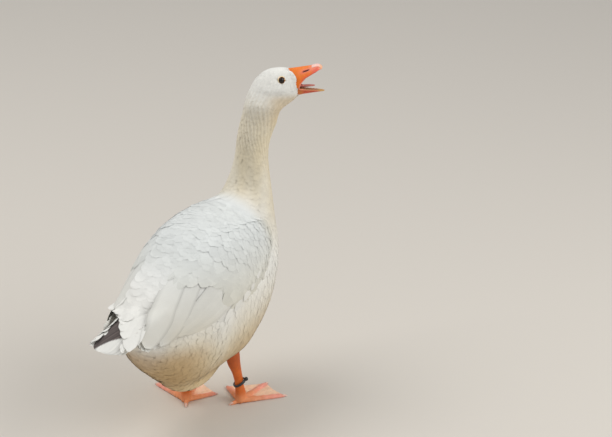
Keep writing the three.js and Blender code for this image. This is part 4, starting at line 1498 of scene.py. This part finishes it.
def leg_hide(name, roughness):
    """Hide with small scales, and scutes where the scutes attribute says."""
    made = fleshy(name, roughness, 900.0, 0.25)
    bumps = shader_of(made).inputs["Normal"].links[0].from_node
    place = made.node_tree.nodes.new("ShaderNodeTexCoord").outputs["Object"]
    cells = node(made, "ShaderNodeTexVoronoi", Vector=place, Scale=620.0)
    parts = node(made, "ShaderNodeSeparateXYZ", Vector=tint_socket(made, "scutes"))
    wave = maths(made, "PINGPONG", parts.outputs["X"], SCUTE_STEP)
    plates = maths(made, "MULTIPLY", maths(made, "MULTIPLY", wave, parts.outputs["Y"]), 700.0)
    scales = maths(made, "ADD", maths(made, "MULTIPLY", cells.outputs["Distance"], -1.6), plates)
    height = maths(made, "ADD", scales, bumps.inputs["Height"].links[0].from_socket)
    link(made, height, bumps.inputs["Height"])
    return made


leg_skin_hide = leg_hide("leg_hide", 0.55)
claw_horn = fleshy("claw_horn", 0.4, 500.0, 0.1)


def foot_places(side_name):
    """The frames of a foot, its shank, its front toes and its hind toe."""
    _, ankle, heading, hind_turn, toes = FEET[side_name]
    front_turns = [toe[1] for toe in toes]
    place, hind, *rays = (Place([*ankle, 0], heading + turn) for turn in (0, hind_turn, *front_turns))
    return place, Place([*ankle, 0]), rays, hind


def scutes_of(points, normals, high, upright, rays):
    """For each point, how far along its row of scutes it is, in metres, and how far they show,
    and how far the nearest toe's middle is, in millimetres."""
    near = np.full(len(points), 1e9)
    along, shown = np.zeros((2, len(points)))
    for ray in rays:
        x, y, _ = ray.inverse(points)
        gap = np.abs(y) + 100 * (x < 0)
        closer = gap < near
        near = np.where(closer, gap, near)
        along = np.where(closer, x * MM, along)
        shown = np.where(closer, (1 - ramp(gap, 3, 5)) * ramp(normals[:, 2], 0.4, 0.8), shown)
    up_leg = ramp(high, 16, 24)
    along = np.where(up_leg > 0.5, high * MM, along)
    shown = shown * (1 - up_leg) + up_leg * ramp(normals @ upright.along, 0.45, 0.85)
    return np.stack([along, shown, 0 * shown], -1), near


def leg(side_name):
    """A leg and its foot as one skin, parted at FOOT_TOP, and the claws."""
    side, _, _, _, toes = FEET[side_name]
    place, upright, rays, hind = foot_places(side_name)
    forms = [toe_form(ray, toe[0], toe[2], toe[3]) for ray, toe in zip(rays, toes)]
    forms += [web_form(place, *pair) for pair in (toes[:2], toes[1:])]
    forms.append(shank_form(upright, side))
    forms.append(toe_form(hind, 26, 9, (0.6,), 0.1, 0.95, 0.72))
    points, normals, faces = remeshed("rough_" + side_name, forms, SKIN_CELL, 5)
    high = upright.inverse(points)[2]
    scutes, near = scutes_of(points, normals, high, upright, rays)
    webbed = ramp(near, 5, 11) * (1 - ramp(high, 7, 12))
    reach = np.linalg.norm(np.stack(place.inverse(points)[:2]), axis=0)
    tint = painted(
        FOOT_ORANGE, high.shape,
        (TOE_PINK, ramp(reach, 22, 80)),
        (WEB_PINK, webbed * ramp(reach, 15, 50)),
        (LEG_ORANGE, ramp(high, 9, 32)),
        # painted shade at the top of the leg
        (LEG_TOP_SHADE, ramp(high, 70, 118) * 0.85))
    tint = tint * (1 + 0.06 * mottle(points, 0.012, 61))[:, None]

    level = high[faces].mean(1)
    for name, kept, slot in (("leg_hide_" + side_name, level > FOOT_TOP, "leg_skin"),
                             ("foot_hide_" + side_name, level <= FOOT_TOP, "foot_skin")):
        used, places = np.unique(faces[kept], return_inverse=True)
        piece = mesh_object(name, points[used], places.reshape(-1, 4), None,
                            {"tint": tint[used], "scutes": scutes[used]}, normals[used])
        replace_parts(piece, name.replace("_hide", ""))
        show(piece, leg_skin_hide)

    claws = [claw_form(ray, toe[0] * 1.005, toe[0] * 0.9, toe[2] * 0.42, 2.9)
             for ray, toe in zip(rays, toes)]
    claws.append(claw_form(hind, 30, 20, 5.0, 2.6))
    claw_points, claw_faces = joined(claws)
    piece = mesh_object("claws_" + side_name, claw_points, claw_faces, None,
                        {"tint": np.broadcast_to(CLAW, claw_points.shape)})
    show(piece, claw_horn)


for side_name in FEET:
    leg(side_name)


# ---------------- the leg ring
RING_RADIUS = 13.4                # to the middle of its band
RING_HALF = (1.3, 2.7)           # half its thickness and half its height
RING_KNOB = 4.4
RING_TILT = 30
RING_TURN = 216                   # the catch is at the front right of the leg
RING_AT = (1.8, -3.6, 47)         # its middle, from the right ankle
RING_CORNER = 0.4                 # how far the band's corners are cut off


def bridge(bm, rings):
    """Faces from each ring of vertices to the next."""
    for ring, after in zip(rings, rings[1:]):
        for corner in range(len(ring)):
            following = (corner + 1) % len(ring)
            bm.faces.new((ring[corner], after[corner], after[following], ring[following]))


def add_ball(bm, middle, radius, segments=28, rings=18):
    """A ball whose faces come in the same order each time."""
    def vertex(polar, turn):
        way = (math.sin(polar) * math.cos(turn), math.sin(polar) * math.sin(turn), math.cos(polar))
        return bm.verts.new(middle + Vector(way) * radius)

    rows = [[vertex(math.pi * k / rings, turn) for turn in turns(segments)] for k in range(1, rings)]
    bridge(bm, rows)
    for pole, row in ((vertex(0, 0), rows[0]), (vertex(math.pi, 0), rows[-1])):
        for corner in range(segments):
            bm.faces.new((pole, row[corner], row[(corner + 1) % segments]))


def leg_ring():
    """A plain band that hangs loose and tilted round the right shank, with a ball catch."""
    ring_hide = material("ring", Roughness=0.42, Base_Color=(*srgb(46, 52, 54), 1))
    bm = bmesh.new()
    thick, tall = RING_HALF
    thin, low = thick - RING_CORNER, tall - RING_CORNER
    profile = [(-thick, -low), (-thin, -tall), (thin, -tall), (thick, -low), (thick + 0.15, 0),
               (thick, low), (thin, tall), (-thin, tall), (-thick, low)]
    rings = [[bm.verts.new(((RING_RADIUS + out) * math.cos(turn),
                            (RING_RADIUS + out) * math.sin(turn), up)) for out, up in profile]
             for turn in turns(96)]
    bridge(bm, rings + rings[:1])
    add_ball(bm, Vector((RING_RADIUS + RING_KNOB - 0.8, 0, 0)), RING_KNOB)
    collar = Matrix.Translation((RING_RADIUS + 1.2, 0, 0)) @ Matrix.Rotation(math.pi / 2, 4, "Y")
    bmesh.ops.create_cone(bm, cap_ends=True, segments=24, radius1=2.8, radius2=2.2, depth=2.4,
                          matrix=collar)
    at = Place([*FEET["right"][1], 0])(*RING_AT)
    place = (Matrix.Translation(at) @ Matrix.Rotation(math.radians(RING_TURN), 4, "Z")
             @ Matrix.Rotation(-math.radians(RING_TILT), 4, "Y") @ Matrix.Scale(MM, 4))
    bmesh.ops.transform(bm, matrix=place, verts=bm.verts)
    bmesh.ops.recalc_face_normals(bm, faces=bm.faces)
    mesh = bpy.data.meshes.new("ring_band")
    bm.to_mesh(mesh)
    bm.free()
    mesh.polygons.foreach_set("use_smooth", np.ones(len(mesh.polygons), bool))
    piece = placed("ring_band", mesh)
    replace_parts(piece, "leg_ring")
    show(piece, ring_hide)


leg_ring()


# ---------------- loose feathers
def highlight_paler(points):
    """The markings with most of their stain washed out, paler as a painted highlight on the flank's
    ridge.
    """
    return mix(markings(points), WHITE, 0.4) * 0.95


# The loose feathers of the back close over the space between the folded wings.
SADDLE_BACK = (-100, 252)         # behind the middle of the body
SADDLE_STEP = 6.0
SADDLE_COLUMNS = 25
SADDLE_TOP = 600                  # above the back, where rays are cast down from
SADDLE_IN = 2.5                   # wing cells inside the wing's upper edge


def saddle_sheet():
    """A surface from one wing's upper edge over the back to the other's."""
    tree = solids_tree(["trunk", "tail"])
    rows = []
    for back in np.arange(*SADDLE_BACK, SADDLE_STEP):
        row = wing_cell(back, 0)[0]
        behind = ramp(back, 60, 140)
        top = np.argmax(on_wing[int(round(row))]) + SADDLE_IN - 1.2 * behind
        edge = wings["right"].at(np.array([row]), np.array([top]), -(1.2 + 1.4 * behind) * MM)
        _, aside, height = (float(value[0]) for value in TRUNK.inverse(edge))
        rights = np.linspace(-aside, aside, SADDLE_COLUMNS)
        starts = TRUNK(-back + 0 * rights, rights, SADDLE_TOP + 0 * rights)
        hits = [tree.ray_cast(Vector(start), Vector(-TRUNK.rise), 2)[3] for start in starts]
        solid = SADDLE_TOP - np.array([hit or 9 for hit in hits]) / MM
        middle = max(solid[SADDLE_COLUMNS // 2] + 2, height - 9)
        left = np.clip(-rights / aside, 0, 1) ** 2
        sling = middle + (height - middle) * (rights / aside) ** 2 + 4 * behind * left
        sling = sling + (solid + 3 - sling) * ramp(back - 34 * left, 214, 252)
        rows.append(np.stack([-back + 0 * rights, rights, np.maximum(sling, solid + 1)], -1))
    grid = np.array(rows)
    grid[..., 1:] = blur(grid[..., 1:], 1.5, 0)
    grid[..., 2] = blur(grid[..., 2], 1.0, 1)
    made = Sheet(TRUNK(*np.moveaxis(grid, -1, 0)), False, TRUNK.rise)
    made.lean = lambda row, column: np.zeros(np.shape(row))
    return made


def between_wings(row, column):
    """True but at the sides of the last rows, where feathers would stick out past the wings."""
    half = (SADDLE_COLUMNS - 1) / 2
    return np.abs(column - half) < half * (1 - 0.24 * ramp(row, 44, 57))


def back_feathers():
    saddle = saddle_sheet()
    feathers = Feathers("back_feathers", 66)
    row, column = scatter(saddle, feathers.rng, (0, len(saddle.points) - 2),
                          (0, SADDLE_COLUMNS - 1), 9 * MM, 8 * MM, between_wings)
    feathers.strew(saddle, row, column, 42 * MM, 28 * MM, sink=0.0035, proud=0.0005, cup=0.0003,
                   curl=-5 * MM * ramp(row, 48, 56), grid=(6, 4), soft=0.85, wander=0.07,
                   colour=back_colours)
    feathers.build()


back_feathers()

# Guides of the flank's feathers, which ride up over the front of each wing's lower edge.
FLANKS = [
    [(-95, -232), (-60, -236), (-28, -232), (0, -218)],
    [(-75, -215), (-40, -222), (-8, -217), (22, -203)],
    [(-50, -200), (-15, -208), (18, -203), (48, -191)],
    [(-25, -188), (10, -195), (45, -191), (76, -181)],
    [(0, -180), (36, -185), (72, -181), (104, -171)],
    [(28, -175), (62, -178), (98, -173), (132, -161)],
]
for seed, (side_name, sheet) in zip((70, 71), wings.items()):
    ridge = Feathers("flank_" + side_name, seed)
    # edge below 0 paints a highlight along the flank feathers' edges, and their colour is washed paler
    # as a painted highlight on the ridge
    ridge.quills(sheet, FLANKS, 36, -4, 1.2, cup=0.0026, grid=(12, 8),
                 shape={"base": 0.4, "full": 0.5, "tip": 1.7}, colour=highlight_paler, soft=0.9, edge=-0.05)
    ridge.build()


# ---------------- camera, light and floor
def look():
    """The camera: above, behind and to the goose's right, with its feet at FEET_PIXEL."""
    heading, pitch = math.radians(180 + CAMERA_HEADING), math.radians(CAMERA_PITCH)
    right = np.array([math.cos(heading), math.sin(heading), 0])
    level = np.array([-math.sin(heading), math.cos(heading), 0])
    forward = level * math.cos(pitch) - UP * math.sin(pitch)
    up = np.cross(right, forward)
    x, y = ((FEET_PIXEL[axis] - IMAGE[axis] / 2) / FOCAL_PIXELS * CAMERA_DISTANCE for axis in (0, 1))
    place = Place.shift - (forward * CAMERA_DISTANCE + right * x - up * y)
    data = bpy.data.cameras.new("camera")
    data.sensor_fit, data.sensor_width = "HORIZONTAL", 36
    data.lens = FOCAL_PIXELS / IMAGE[0] * data.sensor_width
    camera = placed("camera", data)
    camera.matrix_world = Matrix([[*(axis[k] for axis in (right, up, -forward)), place[k]]
                                  for k in range(3)] + [[0, 0, 0, 1]])
    bpy.context.scene.camera = camera
    return right, level


camera_right, camera_level = look()
GOOSE_MIDDLE = np.array([0.0, 0.0, 0.35])


def area_light(name, offset, size, energy, colour):
    """A soft round lamp that points at the goose. offset is (right, away, up) of it, as the
    camera sees it."""
    data = bpy.data.lights.new(name, "AREA")
    data.shape, data.size, data.energy, data.color = "DISK", size, energy, colour
    lamp = placed(name, data)
    right, away, up = offset
    lamp.location = GOOSE_MIDDLE + camera_right * right + camera_level * away + UP * up
    towards = Vector(GOOSE_MIDDLE) - lamp.location
    lamp.rotation_euler = towards.to_track_quat("-Z", "Y").to_euler()


def floor(far=60):
    mesh = bpy.data.meshes.new("floor")
    mesh.from_pydata([(-far, -far, 0), (far, -far, 0), (far, far, 0), (-far, far, 0)], [],
                     [(0, 1, 2, 3)])
    mesh.materials.append(material("floor", Base_Color=(0.66, 0.62, 0.56, 1), Roughness=0.95))
    placed("floor", mesh)


floor()
area_light("key", (-1.7, 0.4, 3.0), 2.4, 53, (1.0, 0.98, 0.95))
area_light("fill", (2.4, -0.8, 1.8), 2.5, 42, (1.0, 0.99, 0.97))
world = bpy.data.worlds.new("studio")
world.use_nodes = True
background = world.node_tree.nodes["Background"]
background.inputs["Color"].default_value = (0.97, 0.98, 1.0, 1)
background.inputs["Strength"].default_value = 0.52
bpy.context.scene.world = world
bpy.context.scene.view_settings.view_transform = "Standard"
